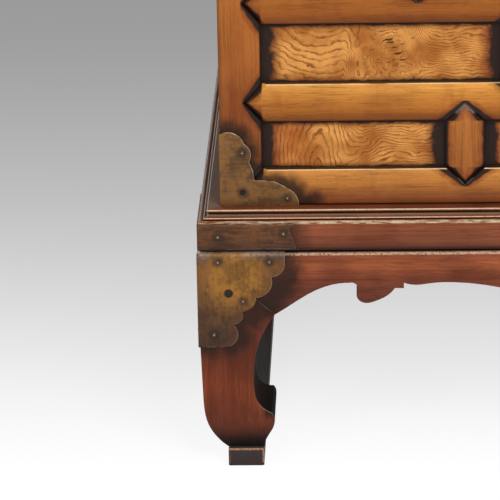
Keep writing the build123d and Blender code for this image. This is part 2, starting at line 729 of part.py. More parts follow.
def build_flap():
    """The drop front: two stiles, two rails, three uprights and four panels."""
    left = -post_inner + flap_gap
    right = post_inner - flap_gap
    low = flap_zone_low + flap_gap
    high = drawer_rail_low - flap_gap
    inner_left = left + flap_stile_width
    inner_right = right - flap_stile_width
    inner_low = low + flap_rail_height
    inner_high = high - flap_rail_height
    half_centre = flap_centre_width / 2
    left_spans = openings_between(inner_left, -half_centre, 2, muntin_width)
    right_spans = [(-b, -a) for a, b in reversed(left_spans)]
    muntin_x = (left_spans[0][1] + left_spans[1][0]) / 2

    rails = [level_bar(inner_left, inner_right, z, flap_rail_height, point_reach, point_reach)
             for z in (low, inner_high)]
    centre = standing_bar(0, inner_low, inner_high, flap_centre_width, flap_rail_height / 2,
                          flap_rail_height / 2)
    muntins = [standing_bar(x, inner_low, inner_high, muntin_width, flap_rail_height / 2,
                            flap_rail_height / 2) for x in (muntin_x, -muntin_x)]
    panels = [panel(x0, x1, inner_low, inner_high) for x0, x1 in left_spans + right_spans]
    stile = block(left, inner_left, front, front + flap_thickness, low, high) - rails - panels
    save("flap_stiles", *both_sides(soften(stile)))
    save("flap_rails", *[dress(rail) - [centre] - muntins - panels for rail in rails])
    save("flap_muntins", *[dress(m) - panels for m in [centre] + muntins])
    save("flap_panels", *panels)

    ring_z = (low + high) / 2 + ring_radius
    save("flap_ring_eyes", eye(muntin_x, ring_z), eye(-muntin_x, ring_z))
    save("flap_ring_left", ring(muntin_x, ring_z))
    save("flap_ring_right", ring(-muntin_x, ring_z))


def build_lock():
    """Lock plate and hasp on the flap, staple on the rail above."""
    flap_high = drawer_rail_low - flap_gap
    hasp_z = flap_high - hasp_drop
    hasp_y = front - lock_plate_thickness - hasp_knuckle_radius - running_gap
    staple_z = drawer_rail_low + drawer_rail_height / 2
    slot_reach = staple_z - hasp_z

    plate_high = flap_high - edge_round
    wide = lock_plate_width / 2
    narrow = lock_plate_waist / 2
    ear, ear_round, neck, neck_round, waist = [(x, plate_high - z) for x, z in (
        (wide, 0.32 * lock_plate_head), (0.95 * wide, 0.67 * lock_plate_head),
        (0.75 * wide, 0.85 * lock_plate_head), (0.66 * wide, 0.96 * lock_plate_head),
        (narrow, lock_plate_head))]
    hip, hip_round, tip_side, tip_round, tip = [(x, hasp_z - z) for x, z in (
        (narrow, 0.65 * lock_plate_tail), (0.86 * narrow, 0.8 * lock_plate_tail),
        (0.43 * narrow, 0.875 * lock_plate_tail), (0.18 * narrow, 0.91 * lock_plate_tail),
        (0, lock_plate_tail))]
    half = (Polyline((0, plate_high), (wide, plate_high), ear) + ThreePointArc(ear, ear_round, neck)
            + ThreePointArc(neck, neck_round, waist) + Line(waist, hip)
            + ThreePointArc(hip, hip_round, tip_side) + ThreePointArc(tip_side, tip_round, tip))
    plate = upright(half + mirror(half, about=Plane.YZ), front - lock_plate_thickness,
                    lock_plate_thickness)
    lug_width = 6.0
    lug_x = hasp_width / 2 + part_clearance + lug_width / 2
    for x in (-lug_x, lug_x):
        plate += rod(hasp_knuckle_radius, lug_width, x, hasp_y, hasp_z)
        plate += block(x - lug_width / 2, x + lug_width / 2, hasp_y, front - lock_plate_thickness / 2,
                       hasp_z - hasp_knuckle_radius * 0.7, hasp_z + hasp_knuckle_radius * 0.7)
    plate -= rod(hasp_pin_radius, 2 * lug_x + 2 * lug_width, 0, hasp_y, hasp_z)
    pin = rod(hasp_pin_radius, 2 * lug_x + lug_width, 0, hasp_y, hasp_z)

    edge = hasp_width / 2
    tip = hasp_z - hasp_length
    strap_half = (Polyline((0, hasp_z), (edge, hasp_z), (edge, tip + 8))
                  + ThreePointArc((edge, tip + 8), (edge - 1.5, tip + 3.5), (4, tip + 2))
                  + ThreePointArc((4, tip + 2), (1.6, tip + 1.4), (0, tip)))
    hasp = upright(strap_half + mirror(strap_half, about=Plane.YZ), hasp_y - hasp_thickness / 2,
                   hasp_thickness)
    hasp += rod(hasp_knuckle_radius, hasp_width, 0, hasp_y, hasp_z)
    hasp -= rod(hasp_pin_radius + pin_clearance, hasp_width + 2, 0, hasp_y, hasp_z)
    hasp -= block(-hasp_slot_width / 2, hasp_slot_width / 2, hasp_y - 5, hasp_y + 5,
                  hasp_z - slot_reach - hasp_slot_height / 2, hasp_z - slot_reach + hasp_slot_height / 2)

    rosette = Pos(0, front - plate_thickness / 2, staple_z) * Rot(90, 0, 0) * Cylinder(
        rosette_radius, plate_thickness)
    staple = block(-staple_wire / 2, staple_wire / 2, front - staple_reach, front,
                   staple_z - staple_height / 2, staple_z + staple_height / 2)
    nose_edges = staple.edges().filter_by(Axis.X).group_by(Axis.Y)[0]
    staple = fillet(nose_edges, radius=staple_height * 0.45)
    staple -= rod(staple_hole_radius, staple_wire + 2, 0, front - staple_reach + staple_height / 2,
                  staple_z)
    save("lock_plate", plate, pin)
    save("hasp", hasp)
    save("lock_staple", rosette + staple)


def build_drawers():
    """Three drawers: a burl front, two sides, a back and a bottom, with a ring each."""
    box_low = drawer_zone_low + running_gap
    box_back = back - back_setback - back_thickness - drawer_back_gap
    for number, (x0, x1) in enumerate(drawer_spans, start=1):
        left = x0 + drawer_gap
        right = x1 - drawer_gap
        face = block(left, right, front, front + drawer_front_thickness, drawer_zone_low + drawer_gap,
                     top_rail_low - drawer_gap)
        side_top = box_low + drawer_side_height
        side_front_y = front + drawer_front_thickness
        left_side = block(left, left + drawer_side_thickness, side_front_y, box_back, box_low, side_top)
        right_side = block(right - drawer_side_thickness, right, side_front_y, box_back, box_low,
                           side_top)
        rear = block(left + drawer_side_thickness, right - drawer_side_thickness,
                     box_back - drawer_side_thickness, box_back, box_low, side_top)
        bottom = block(left + drawer_side_thickness, right - drawer_side_thickness, side_front_y,
                       box_back - drawer_side_thickness, box_low, box_low + drawer_bottom_thickness)
        middle = (x0 + x1) / 2
        ring_z = drawer_zone_low + drawer_zone_height / 2 + ring_radius / 2
        save(f"drawer_{number}", soften(face), left_side, right_side, rear, bottom)
        save(f"drawer_{number}_eye", eye(middle, ring_z))
        save(f"drawer_{number}_ring", ring(middle, ring_z))


def build_side_handles():
    """A swinging bail on each side, its ends turned into two posts."""
    middle_y = (side_front + side_back) / 2
    axis_x = -half_width - handle_axis_offset
    half = handle_spacing / 2
    post_length = handle_axis_offset + handle_rod_radius + 2.5
    posts = []
    for y in (middle_y - half, middle_y + half):
        rosette = Pos(-half_width - plate_thickness / 2, y, handle_height) * Rot(0, 90, 0) * Cylinder(
            rosette_radius, plate_thickness)
        post = Pos(-half_width - post_length / 2, y, handle_height) * Rot(0, 90, 0) * Cylinder(
            handle_post_radius, post_length)
        post = fillet(post.faces().sort_by(Axis.X)[0].edges(), radius=2.5)
        hole = Pos(axis_x, y, handle_height) * Rot(90, 0, 0) * Cylinder(
            handle_rod_radius + pin_clearance, 4 * handle_post_radius)
        posts.append(rosette + post - hole)

    end = half - handle_post_radius
    reach = half + handle_post_radius + handle_bend_radius + 1
    path = FilletPolyline((end, 0), (reach, 0), (reach, -handle_drop), (-reach, -handle_drop),
                          (-reach, 0), (-end, 0), radius=handle_bend_radius)
    plane = Plane(origin=(axis_x, middle_y, handle_height), x_dir=(0, 1, 0), z_dir=(1, 0, 0))
    route = plane * path
    start = Plane(origin=route @ 0, z_dir=route % 0)
    bail = sweep(start * Circle(handle_rod_radius), path=route)
    save("side_handle_posts", *posts, *[mirror(post, about=Plane.YZ) for post in posts])
    save("side_handle_left", bail)
    save("side_handle_right", mirror(bail, about=Plane.YZ))


build_stand()
build_mouldings()
build_front()
build_sides_and_back()
build_inside()
build_plates()
build_hinges()
build_flap()
build_lock()
build_drawers()
build_side_handles()
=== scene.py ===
import math

import bmesh
import bpy
from mathutils import Matrix, Vector


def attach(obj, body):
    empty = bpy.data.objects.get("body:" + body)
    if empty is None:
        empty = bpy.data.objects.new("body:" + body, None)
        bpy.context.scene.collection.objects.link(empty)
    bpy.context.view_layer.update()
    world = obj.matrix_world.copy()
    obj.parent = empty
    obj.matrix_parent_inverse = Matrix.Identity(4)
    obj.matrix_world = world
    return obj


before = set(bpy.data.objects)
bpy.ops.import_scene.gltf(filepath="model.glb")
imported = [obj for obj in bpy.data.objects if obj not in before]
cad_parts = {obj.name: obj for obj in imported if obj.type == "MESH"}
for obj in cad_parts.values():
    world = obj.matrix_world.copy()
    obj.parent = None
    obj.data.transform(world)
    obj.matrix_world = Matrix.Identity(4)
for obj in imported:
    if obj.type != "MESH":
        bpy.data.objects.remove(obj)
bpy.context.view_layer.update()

# A Korean drop-front chest on a carved stand. The solids carry the shapes; this script gives
# them their woods, stains, wear and patina, some painted highlights and painted shade, and adds
# the domed nails. Lengths in the shaders are millimetres in the part's own frame: X = 0 the
# middle, Z = 0 the floor, front faces -Y.
MM = 1000.0                  # millimetres in a metre

# ------------------------------------------------------------------ places, millimetres
FRONT = -209.0               # face of the body's front frame
BACK = 231.0
HALF_WIDTH = 483.5
INNER_HALF = 448.5           # between the stiles
BODY_TOP = 870.0
STAND_HALF = 503.6
STAND_FRONT = -229.1
STAND_TOP = 194.5
TRAY_FRONT = -228.3
LEDGE_TOP = 230.2
MUNTIN = 32.5                # width of muntins and posts
POINT = 15.0                 # a rail's mitred point, into the stile

# The front's zones, low and high, and the rails below, between and above them
ROW_1 = (261.5, 303.0)
ROW_2 = (336.0, 387.2)
FLAP_ZONE = (422.5, 720.0)
DRAWER_ZONE = (753.0, 837.0)
RAILS = [(LEDGE_TOP, ROW_1[0]), (ROW_1[1], ROW_2[0]), (ROW_2[1], FLAP_ZONE[0]),
         (FLAP_ZONE[1], DRAWER_ZONE[0]), (DRAWER_ZONE[1], BODY_TOP)]
SIDE_RAIL = (603.5, 636.5)   # the rail at each side that carries a handle
ROW_SPLIT = 319.0            # the second row's pattern starts here
ROWS_END = 422.0             # the two rows' muntins lie within this distance of the middle
TIPS = [(238.0, 252.0), (309.0, 329.0), (395.0, 410.0)]     # heights of the muntins' tips

ROW_1_PANELS, ROW_2_PANELS, DRAWERS, COLUMN_PANELS = 5, 4, 3, 3
ROW_1_PITCH, ROW_2_PITCH, DRAWER_PITCH = [(2 * INNER_HALF + MUNTIN) / count
                                          for count in (ROW_1_PANELS, ROW_2_PANELS, DRAWERS)]
COLUMN_PITCH = (FLAP_ZONE[1] - FLAP_ZONE[0] + MUNTIN) / COLUMN_PANELS
COLUMN_INNER = 334.65        # inner end of the panels beside the flap
COLUMN_RAILS = (571.0, 130.0)                               # middle height, reach up and down
FLAP_PANEL_Z = (459.5, 683.0)
FLAP_INNER = 261.15          # inside of the flap's stiles
FLAP_MUNTIN = 145.6          # middle of a muntin of the flap
FLAP_CENTRE = 30.0           # half the flap's middle stile
SIDE_POST = 36.0             # depth of the posts, seen from the side
SIDE_FRAME_INNER = 460.0     # inner faces of the frame and of the panels at the sides
SIDE_PANEL_INNER = 465.0
BACK_BOARDS = 3
BACK_BOARD_DEPTH = 30.0      # they lie within this distance of the back

# The tray's mouldings: heights, low and high, and how far the foremost stand out from the body
CROWN, LIP, BEAD = (219.6, 222.0), (223.2, 223.8), (224.5, 225.6)
COVE, NOSING = (225.6, 228.3), (229.2, 230.0)
CROWN_OUT, LIP_OUT, NOSING_OUT = 17.2, 14.4, 11.5
TRAY_FOOT = 197.0
STRAP_END = 424.0

# The legs
MITRE_END = (439.4, 139.6)   # inner end of the open mitre between leg and apron
HOOK = (46.0, 82.0)          # heights of the painted shade at the hooked knee's end
HOOK_END = 447.0
LEG_HOLLOW = 478.0           # a leg is cut away inside this distance from the middle
FOOT_TOP = 26.0              # a leg is painted with shade below this, where it curves under
RUNNER_TOP = 15.5

# Black stain at the mitred points: half its width at a shoulder, and how much less at a tip
GROOVE, GROOVE_TAPER = 4.4, 3.5
PAST_END = 40.0              # added to its distance beyond a point's ends
FAR = 60.0                   # added to its distance where there is no point
SHADED = 2.4                 # the stain reaches this much lower under a rail than over one
PLATE = 0.8                  # thickness of the brass sheet

# Corner plates, as discs (place, height, radius) and upright rectangles (places, heights)
BODY_DISCS = [(476.0, 282.0, 15.0), (468.0, 262.0, 12.0), (437.0, 228.0, 24.0)]
BODY_BLOCKS = [(458.0, 490.0, 225.0, 280.0), (436.0, 490.0, 225.0, 251.0),
               (404.0, 440.0, 225.0, 236.0)]
STAND_DISCS = [(444.0, 176.0, 18.0), (454.0, 158.0, 17.0), (466.0, 145.0, 14.0),
               (478.0, 126.0, 13.0)]
STAND_BLOCKS = [(478.0, 510.0, 111.0, 200.0), (430.0, 510.0, 180.0, 200.0)]

# Nails of the corner plates, as distance from the middle and height, the same on both halves
STAND_NAILS = [(486.5, 186.8), (443.3, 186.8), (466.0, 152.0), (490.9, 122.0)]
BODY_NAILS = [(465.0, 276.4), (465.2, 241.5), (427.8, 236.2)]
STRAP_NAILS = [(486.1, 208.8), (431.2, 211.5)]
LOST_NAIL = (-465.2, 241.5)  # only its hole is left
TORN_HOLE = (-478.1, 159.0)
NAIL_RADIUS, NAIL_RISE = 2.0, 0.9
DOME_RINGS, DOME_SIDES = 5, 18

# Colours used more than once
BARE = "a97c50"              # unfinished wood inside the body
STAND_SOOT = "231713"
TRAY_DARK = "1c1310"

# ------------------------------------------------------------------ light and camera, metres
FLOOR_HALF = 30.0
AIM = (0, 0, 0.4)            # what the lamps point at
LAMP_SIZE = 1.6
LAMPS = [("key", (0.9, -2.9, 2.9), 112.0), ("fill", (-2.4, -2.6, 1.4), 30.0),
         ("rear", (-2.2, 3.0, 1.6), 34.0)]
CAMERA_PLACE = (-0.35423, -3.16869, 1.2368)
CAMERA_TURN, CAMERA_DIP, CAMERA_ROLL = 2.0471, 19.4607, -1.1373    # degrees
FOCAL_PIXELS, PICTURE_PIXELS = 3730.54, 500                         # length and width in pixels
SENSOR = 36.0                # width in millimetres


# ------------------------------------------------------------------ shader arithmetic
class Field:
    """A number or vector that varies over a surface, so that a pattern reads as a formula."""

    def __init__(self, socket):
        self.socket = socket
        self.tree = socket.id_data

    def __add__(self, other):
        return calc("ADD", self, other)

    def __radd__(self, other):
        return calc("ADD", other, self)

    def __sub__(self, other):
        return calc("SUBTRACT", self, other)

    def __rsub__(self, other):
        return calc("SUBTRACT", other, self)

    def __mul__(self, other):
        return calc("MULTIPLY", self, other)

    def __rmul__(self, other):
        return calc("MULTIPLY", other, self)

    def __truediv__(self, other):
        return calc("DIVIDE", self, other)

    def __abs__(self):
        return calc("ABSOLUTE", self)


def tree_of(*values):
    """The node tree that the values belong to."""
    return next(value.tree for value in values if isinstance(value, Field))


def feed(target, value):
    """Give a socket a number, a colour or another node's output."""
    if isinstance(value, Field):
        target.id_data.links.new(value.socket, target)
    else:
        target.default_value = value


def add(tree, kind, inputs, output=0, **settings):
    """A shader node with its settings and inputs, as the Field of one of its outputs."""
    node = tree.nodes.new("ShaderNode" + kind)
    for name, value in settings.items():
        setattr(node, name, value)
    for key, value in inputs.items():
        feed(node.inputs[key], value)
    return Field(node.outputs[output])


def calc(operation, *values):
    return add(tree_of(*values), "Math", dict(enumerate(values)), operation=operation)


def lowest(*values):
    """The smallest of several numbers."""
    result = values[0]
    for value in values[1:]:
        result = calc("MINIMUM", result, value)
    return result


def highest(*values):
    """The largest of several numbers."""
    result = values[0]
    for value in values[1:]:
        result = calc("MAXIMUM", result, value)
    return result


def hypotenuse(a, b):
    return calc("SQRT", a * a + b * b)


def clamp(value):
    """A number kept between 0 and 1."""
    return add(value.tree, "Clamp", {0: value})


def ramp(value, low, high):
    """0 below low, 1 above high, smooth between. Falls where low is above high."""
    return add(value.tree, "MapRange", {0: value, 1: low, 2: high},
               interpolation_type="SMOOTHSTEP")


def band(value, low, high, soft=0.3):
    """1 between two places, 0 outside, with soft ends."""
    return ramp(value, low - soft, low + soft) * ramp(value, high + soft, high - soft)


def peak(value, centre, width):
    """1 at a place, falling smoothly to 0 at a distance of one width."""
    return ramp(abs(value - centre), width, 0.0)


def blend(factor, a, b):
    """Number a where the factor is 0, b where it is 1."""
    return add(factor.tree, "Mix", {0: factor, 2: a, 3: b}, data_type="FLOAT")


def paint(factor, a, b):
    """Colour a where the factor is 0, b where it is 1."""
    return add(factor.tree, "Mix", {0: factor, 6: a, 7: b}, output=2, data_type="RGBA")


def shade(colour, amount):
    """A colour made darker or lighter."""
    return add(colour.tree, "VectorMath", {0: colour, "Scale": amount}, operation="SCALE")


def tint(code):
    """A colour from its usual six-digit form."""
    channels = [int(code[i:i + 2], 16) / 255 for i in (0, 2, 4)]
    return (*[c / 12.92 if c <= 0.04045 else ((c + 0.055) / 1.055) ** 2.4 for c in channels], 1.0)


def gradient(value, stops):
    """Colours at given places along a value, mixed evenly between them."""
    low, high = stops[0][0], stops[-1][0]
    node = value.tree.nodes.new("ShaderNodeValToRGB")
    elements = node.color_ramp.elements
    for place, code in stops[1:-1]:
        elements.new((place - low) / (high - low)).color = tint(code)
    elements[0].color = tint(stops[0][1])
    elements[-1].color = tint(stops[-1][1])
    feed(node.inputs[0], (value - float(low)) / float(high - low))
    return Field(node.outputs[0])


def point(x, y, z):
    return add(tree_of(x, y, z), "CombineXYZ", {0: x, 1: y, 2: z})


def parts(vector):
    """The three numbers of a vector."""
    node = vector.tree.nodes.new("ShaderNodeSeparateXYZ")
    feed(node.inputs[0], vector)
    return [Field(output) for output in node.outputs]


def noise(where, detail=3.0, roughness=0.55, distortion=0.0):
    """Soft noise from 0 to 1, about 0.5, with features one unit of its coordinates wide."""
    return add(where.tree, "TexNoise", {"Vector": where, "Scale": 1.0, "Detail": detail,
                                        "Roughness": roughness, "Distortion": distortion})


class Surface:
    """One material being built, with the coordinates that its patterns use.

    arris is the radius, in millimetres, by which its edges are shown rounded. worn is 1 there.
    """

    def __init__(self, name, arris=0.7):
        self.material = bpy.data.materials.new(name)
        self.material.use_nodes = True
        self.tree = self.material.node_tree
        self.tree.nodes.clear()
        place = add(self.tree, "TexCoord", {}, output="Object")
        self.x, self.y, self.z = [metres * MM for metres in parts(place)]
        self.wide = abs(self.x)
        normal = add(self.tree, "NewGeometry", {}, output="Normal")
        self.facing_x, self.facing_y, self.facing_z = parts(normal)
        self.rounded = add(self.tree, "Bevel", {"Radius": arris / MM})
        kept = add(self.tree, "VectorMath", {0: normal, 1: self.rounded}, output="Value",
                   operation="DOT_PRODUCT")
        self.worn = ramp(kept, 0.995, 0.9)

    def speckle(self, scale, detail=3.0, roughness=0.55):
        """Noise that is the same in every direction, with so many features a millimetre."""
        return noise(point(self.x * scale, self.y * scale, self.z * scale), detail, roughness)

    def finish(self, colour, roughness, height, relief, specular=0.15, metallic=0.0):
        """Close the material. height is drawn as relief, which is given in millimetres."""
        bump = add(self.tree, "Bump", {"Height": height, "Distance": relief / MM,
                                       "Strength": 1.0, "Normal": self.rounded})
        shader = add(self.tree, "BsdfPrincipled", {
            "Base Color": colour, "Roughness": roughness, "Normal": bump,
            "Specular IOR Level": specular, "Metallic": metallic})
        return self.close(shader)

    def close(self, shader):
        """Give the material its shader."""
        output = self.tree.nodes.new("ShaderNodeOutputMaterial")
        feed(output.inputs["Surface"], shader)
        return self.material


# ------------------------------------------------------------------ distances on the front
def box_distance(u, v, low_u, high_u, low_v, high_v):
    """Distance outside an upright rectangle, 0 inside."""
    du = highest(low_u - u, u - high_u, 0.0)
    dv = highest(low_v - v, v - high_v, 0.0)
    return hypotenuse(du, dv)


def spot_distance(u, v, spots):
    """Distance to the nearest of a few places."""
    return lowest(*[hypotenuse(u - a, v - b) for a, b in spots])


def every(value, start, pitch):
    """Distance to the nearest of evenly spaced places."""
    return calc("PINGPONG", value - start, pitch / 2)


def mitre_margin(u, v, half_width, reach):
    """Distance from the stained groove along a member's mitred point, negative within it.

    u is the distance off the member's middle, v runs from its shoulder to the tip. The groove is
    narrow at the tip and wide at the shoulder.
    """
    slope = half_width * reach / math.hypot(half_width, reach)
    off_line = abs(abs(u) / half_width + v / reach - 1.0) * slope
    groove = GROOVE - clamp(v / reach) * GROOVE_TAPER
    beyond = ramp(v, 0.0, -5.0) + ramp(v, reach, reach + 5.0)
    return off_line - groove + beyond * PAST_END


def front_grooves(surface):
    """Distance on the front from the nearest stained groove, negative within one."""
    x, z, wide = surface.x, surface.z, surface.wide
    half = MUNTIN / 2
    odd = every(x, -ROW_1_PITCH / 2, ROW_1_PITCH)
    even = every(x, 0.0, ROW_2_PITCH)
    posts = wide - (COLUMN_INNER - half)
    dividers = wide - DRAWER_PITCH / 2
    past_rows = ramp(wide, ROWS_END, ROWS_END + 4.0) * FAR
    uprights = [(odd, past_rows), (even, past_rows), (posts, None), (dividers, None)]
    found = []
    for (off, away), below, above in zip(uprights, RAILS, RAILS[1:]):
        foot = mitre_margin(off, below[1] - z, half, (below[1] - below[0]) / 2)
        head = mitre_margin(off, z - above[0], half, (above[1] - above[0]) / 2)
        found += [foot + away, head + away] if away else [foot, head]
    for low, high in RAILS:
        found.append(mitre_margin(z - (low + high) / 2, wide - INNER_HALF, (high - low) / 2, POINT))
    middle, reach = COLUMN_RAILS
    outside = ramp(abs(z - middle), reach, reach + 4.0) * FAR
    columns = every(z, FLAP_ZONE[0] - half, COLUMN_PITCH) + outside
    found.append(mitre_margin(columns, wide - INNER_HALF, half, POINT))
    found.append(mitre_margin(columns, COLUMN_INNER - wide, half, POINT))
    return lowest(*found)


def plate_distance(u, v, discs, blocks):
    """Distance outside a lobed plate, given as discs (u, v, radius) and upright rectangles."""
    lobes = [hypotenuse(u - a, v - b) - radius for a, b, radius in discs]
    return lowest(*lobes, *[box_distance(u, v, *block) for block in blocks])


def body_soot(surface, along, ragged):
    """Soot on the wood round the body's corner plates, at the foot and at the top."""
    middle = (LEDGE_TOP + BODY_TOP) / 2
    height = middle - abs(surface.z - middle)
    near = plate_distance(along, height, BODY_DISCS, BODY_BLOCKS)
    return ramp(near - ragged * 12.0, 7.0, -7.0)


def stand_soot(surface, ragged):
    """Soot on the wood round the stand's corner plates."""
    near = plate_distance(surface.wide, surface.z, STAND_DISCS, STAND_BLOCKS)
    return ramp(near - ragged * 16.0, 8.0, -8.0)


# ------------------------------------------------------------------ woods
def along_grain(surface, direction):
    """Coordinates along and across the grain."""
    x, y, z = surface.x, surface.y, surface.z
    return {"X": (x, y, z), "Y": (y, z, x), "Z": (z, x, y)}[direction]


def straight_grain(surface, direction):
    """Tone, fine lines and pores of straight-grained wood, each from 0 to 1."""
    run, across, deep = along_grain(surface, direction)
    side = across + noise(point(run * 0.008, across * 0.02, deep * 0.02), 2.0) * 14.0
    streaks = noise(point(run * 0.005, side * 0.12, deep * 0.12), 4.0, 0.62)
    lines = noise(point(run * 0.014, side * 0.8, deep * 0.8), 3.0, 0.65)
    pores = ramp(noise(point(run * 0.14, side * 2.3, deep * 2.3), 1.0), 0.6, 0.75)
    patches = surface.speckle(0.02, 2.0)
    tone = clamp(ramp(streaks, 0.25, 0.75) * 0.45 + ramp(lines, 0.25, 0.75) * 0.25
                 + ramp(patches, 0.3, 0.7) * 0.3)
    return tone, lines, pores


def grained(surface, direction, colour, contrast=0.55):
    """A colour with the grain drawn in it, and the height of that grain."""
    tone, lines, pores = straight_grain(surface, direction)
    colour = shade(colour, tone * contrast + (1.0 - contrast / 2))
    colour = paint(ramp(tone, 0.45, 0.1) * (contrast * 0.6), colour, tint("6a2c10"))
    colour = paint(ramp(lines, 0.5, 0.28) * (contrast * 0.36), colour, tint("4a2410"))
    colour = paint(pores * 0.35, colour, tint("34190d"))
    return colour, lines * 0.7 + tone * 0.3 - pores * 0.4


def muntin_edges(surface):
    """Distance to the long edges of the short uprights between the panels of the lower rows."""
    odd = every(surface.x, -ROW_1_PITCH / 2, ROW_1_PITCH)
    even = every(surface.x, 0.0, ROW_2_PITCH)
    return MUNTIN / 2 - blend(ramp(surface.z, ROW_SPLIT, ROW_SPLIT + 1.0), odd, even)


def frame_wood(name, direction, colours, edges=None):
    """A member of the front frame: its own colours, black grooves and edges, and upper arrises made
    pale by wear and by a painted highlight.

    colours run up its height, and edges gives the distance to other edges that are stained.
    """
    surface = Surface(name)
    wide = surface.wide
    ragged = surface.speckle(0.12)
    fine = surface.speckle(0.5)
    colour, height = grained(surface, direction, gradient(surface.z, colours))
    blotch = noise(point(surface.x * 0.06, surface.y * 0.06, surface.z * 0.03))
    colour = paint(ramp(blotch, 0.52, 0.78) * 0.32, colour, tint("7a3812"))
    edge = ramp(wide, HALF_WIDTH - 4.0, HALF_WIDTH) * ramp(surface.facing_y, -0.4, -0.8)
    colour = paint(edge * 0.45, colour, tint("2a1a12"))

    margin = front_grooves(surface)
    if edges:
        margin = lowest(margin, edges(surface) - 1.2)
    fringe = ramp(margin - ragged * 9.0, 3.0, -3.0)
    stain = ramp(margin - ragged * 3.0, 0.6, -1.6)
    soot = body_soot(surface, wide, ragged)
    on_front = ramp(surface.y, FRONT + 9.0, FRONT + 8.0)
    mitred = ramp(abs(surface.facing_x), 0.15, 0.3) * ramp(abs(surface.facing_z), 0.15, 0.3)
    turned = ramp(surface.facing_y, -0.93, -0.6) * ramp(wide, HALF_WIDTH - 2.0, HALF_WIDTH - 3.0)
    turned = turned * (1.0 - mitred * ramp(margin - ragged * 3.0, -1.0, 1.0))
    colour = paint(fringe * on_front * 0.55, colour, tint("6b2c12"))
    colour = paint(soot * on_front * 0.9, colour, tint("1e130e"))
    dark = highest(stain * 0.95, turned * 0.92) * on_front
    colour = paint(dark, colour, tint("1c1614"))

    # Upward-facing arrises: pale marks from wear and a painted highlight of the light from above;
    # the glints at the muntins' tips are painted highlights
    lit_crest = band(surface.facing_z, 0.36, 0.8, 0.1) * on_front
    pale_marks = lit_crest * (1.0 - mitred) * ramp(surface.speckle(0.03), 0.25, 0.6) * (fine * 0.8 + 0.45)
    colour = paint(pale_marks * (1.0 - soot * 0.8), colour, tint("ecc994"))
    glint = lit_crest * mitred * dark * ramp(surface.speckle(0.14), 0.3, 0.5)
    glint = glint * ramp(wide, ROWS_END + 14.0, ROWS_END + 8.0)
    tips = highest(*[band(surface.z, low, high, 1.5) for low, high in TIPS])
    colour = paint(glint * tips * 0.55, colour, tint("a89890"))
    colour = paint(ramp(surface.facing_y, 0.7, 0.9) * 0.85, colour, tint(BARE))
    rough = 0.34 + (1.0 - height) * 0.12 + dark * 0.1
    return surface.finish(colour, rough, height - stain * 0.8, 0.22)


def plain_wood(name, colours, roughness, wear, strength, contrast=0.55, joint=None):
    """Straight-grained boards, their arrises rubbed to the colour wear as strongly as strength.

    joint is the pitch of the dark joints that show between the boards at the back.
    """
    surface = Surface(name)
    colour, height = grained(surface, "X", gradient(surface.z, colours), contrast)
    colour = paint(surface.worn * surface.speckle(0.4) * strength, colour, tint(wear))
    if joint:
        boards = BACK - BACK_BOARD_DEPTH
        behind = ramp(surface.y, boards, boards + 5.0)
        gap = ramp(every(surface.z, LEDGE_TOP, joint), 1.1, 0.4) * behind
        colour = paint(gap * 0.75, colour, tint("3a2616"))
    return surface.finish(colour, roughness + height * 0.1, height, 0.22)


def side_wood(name, direction, colours):
    """The frame at the chest's sides, darker in the corners of its panels, with a painted highlight
    on its upper arrises.
    """
    surface = Surface(name)
    ragged = surface.speckle(0.12)
    colour, height = grained(surface, direction, gradient(surface.z, colours))
    outer = ramp(surface.wide, HALF_WIDTH - 8.0, HALF_WIDTH - 6.0)
    turned = ramp(abs(surface.facing_x), 0.93, 0.6) * outer
    colour = paint(turned * 0.85, colour, tint("1e1511"))
    soot = body_soot(surface, (HALF_WIDTH + FRONT) - surface.y, ragged)
    colour = paint(soot * 0.85, colour, tint("23160f"))
    # Upward-facing arrises painted pale: a painted highlight
    lit_crest = band(surface.facing_z, 0.3, 0.86, 0.12) * outer
    colour = paint(lit_crest * 0.6, colour, tint("d9b486"))
    inside = ramp(surface.wide, SIDE_FRAME_INNER + 2.0, SIDE_FRAME_INNER)
    colour = paint(inside * 0.85, colour, tint(BARE))
    return surface.finish(colour, height * 0.12 + 0.36, height, 0.22)


# ------------------------------------------------------------------ figured panels
def figured_colour(surface, contour, lines, clouds=1.0):
    """Figured elm, and its height: growth rings as contour lines of a height, cloud and pores.

    lines and clouds say how strongly the rings and the cloud are drawn.
    """
    ring = calc("FRACT", contour)
    line = ramp(ring, 0.5, 0.93) * ramp(ring, 1.0, 0.95)
    fine = surface.speckle(0.22)
    cloud = ramp(surface.speckle(0.035), 0.32, 0.68) * clouds + (1.0 - clouds) / 2
    pores = ramp(surface.speckle(1.1, 1.0), 0.6, 0.75)
    colour = paint(cloud, tint("a26023"), tint("d6944c"))
    colour = shade(colour, surface.speckle(0.5) * 0.3 + 0.85)
    broken = ramp(surface.speckle(0.04, 2.0), 0.34, 0.54) * 0.5 + 0.5
    strength = (ramp(fine, 0.3, 0.62) * 0.6 + 0.4) * broken
    colour = paint(line * strength * lines, colour, tint("6e3a16"))
    colour = paint(pores * 0.3, colour, tint("6a3a16"))
    return colour, line * strength * -0.7 + fine * 0.4


def stained_ends(surface, colour, side, top, reach=9.8):
    """The black stain at a panel's ends and along its long edges, with a reddish fringe.

    side and top are the distances to its ends and long edges, reach how far it comes in.
    """
    ragged = surface.speckle(0.1, 4.0, 0.62)
    end = side - ragged * 14.0
    edge = top - ragged * 5.0 + ramp(side, 6.0, 28.0) * 1.2
    fringe = highest(ramp(end, reach + 4.0, reach - 7.0), ramp(edge, 4.0, -1.5))
    stain = highest(ramp(end, reach - 4.4, reach - 9.2), ramp(edge, 0.6, -1.4))
    colour = paint(fringe * 0.75, colour, tint("6a2f14"))
    return paint(stain * 0.95, colour, tint("1d1715")), stain


def span_distance(value, low, high, count):
    """Distance to the nearest end of the panel that a place is in, the place in it, its number."""
    pitch = (high - low + MUNTIN) / count
    along = value - low
    number = calc("FLOOR", along / pitch)
    local = along - number * pitch
    return lowest(local, (pitch - MUNTIN) - local), local, number


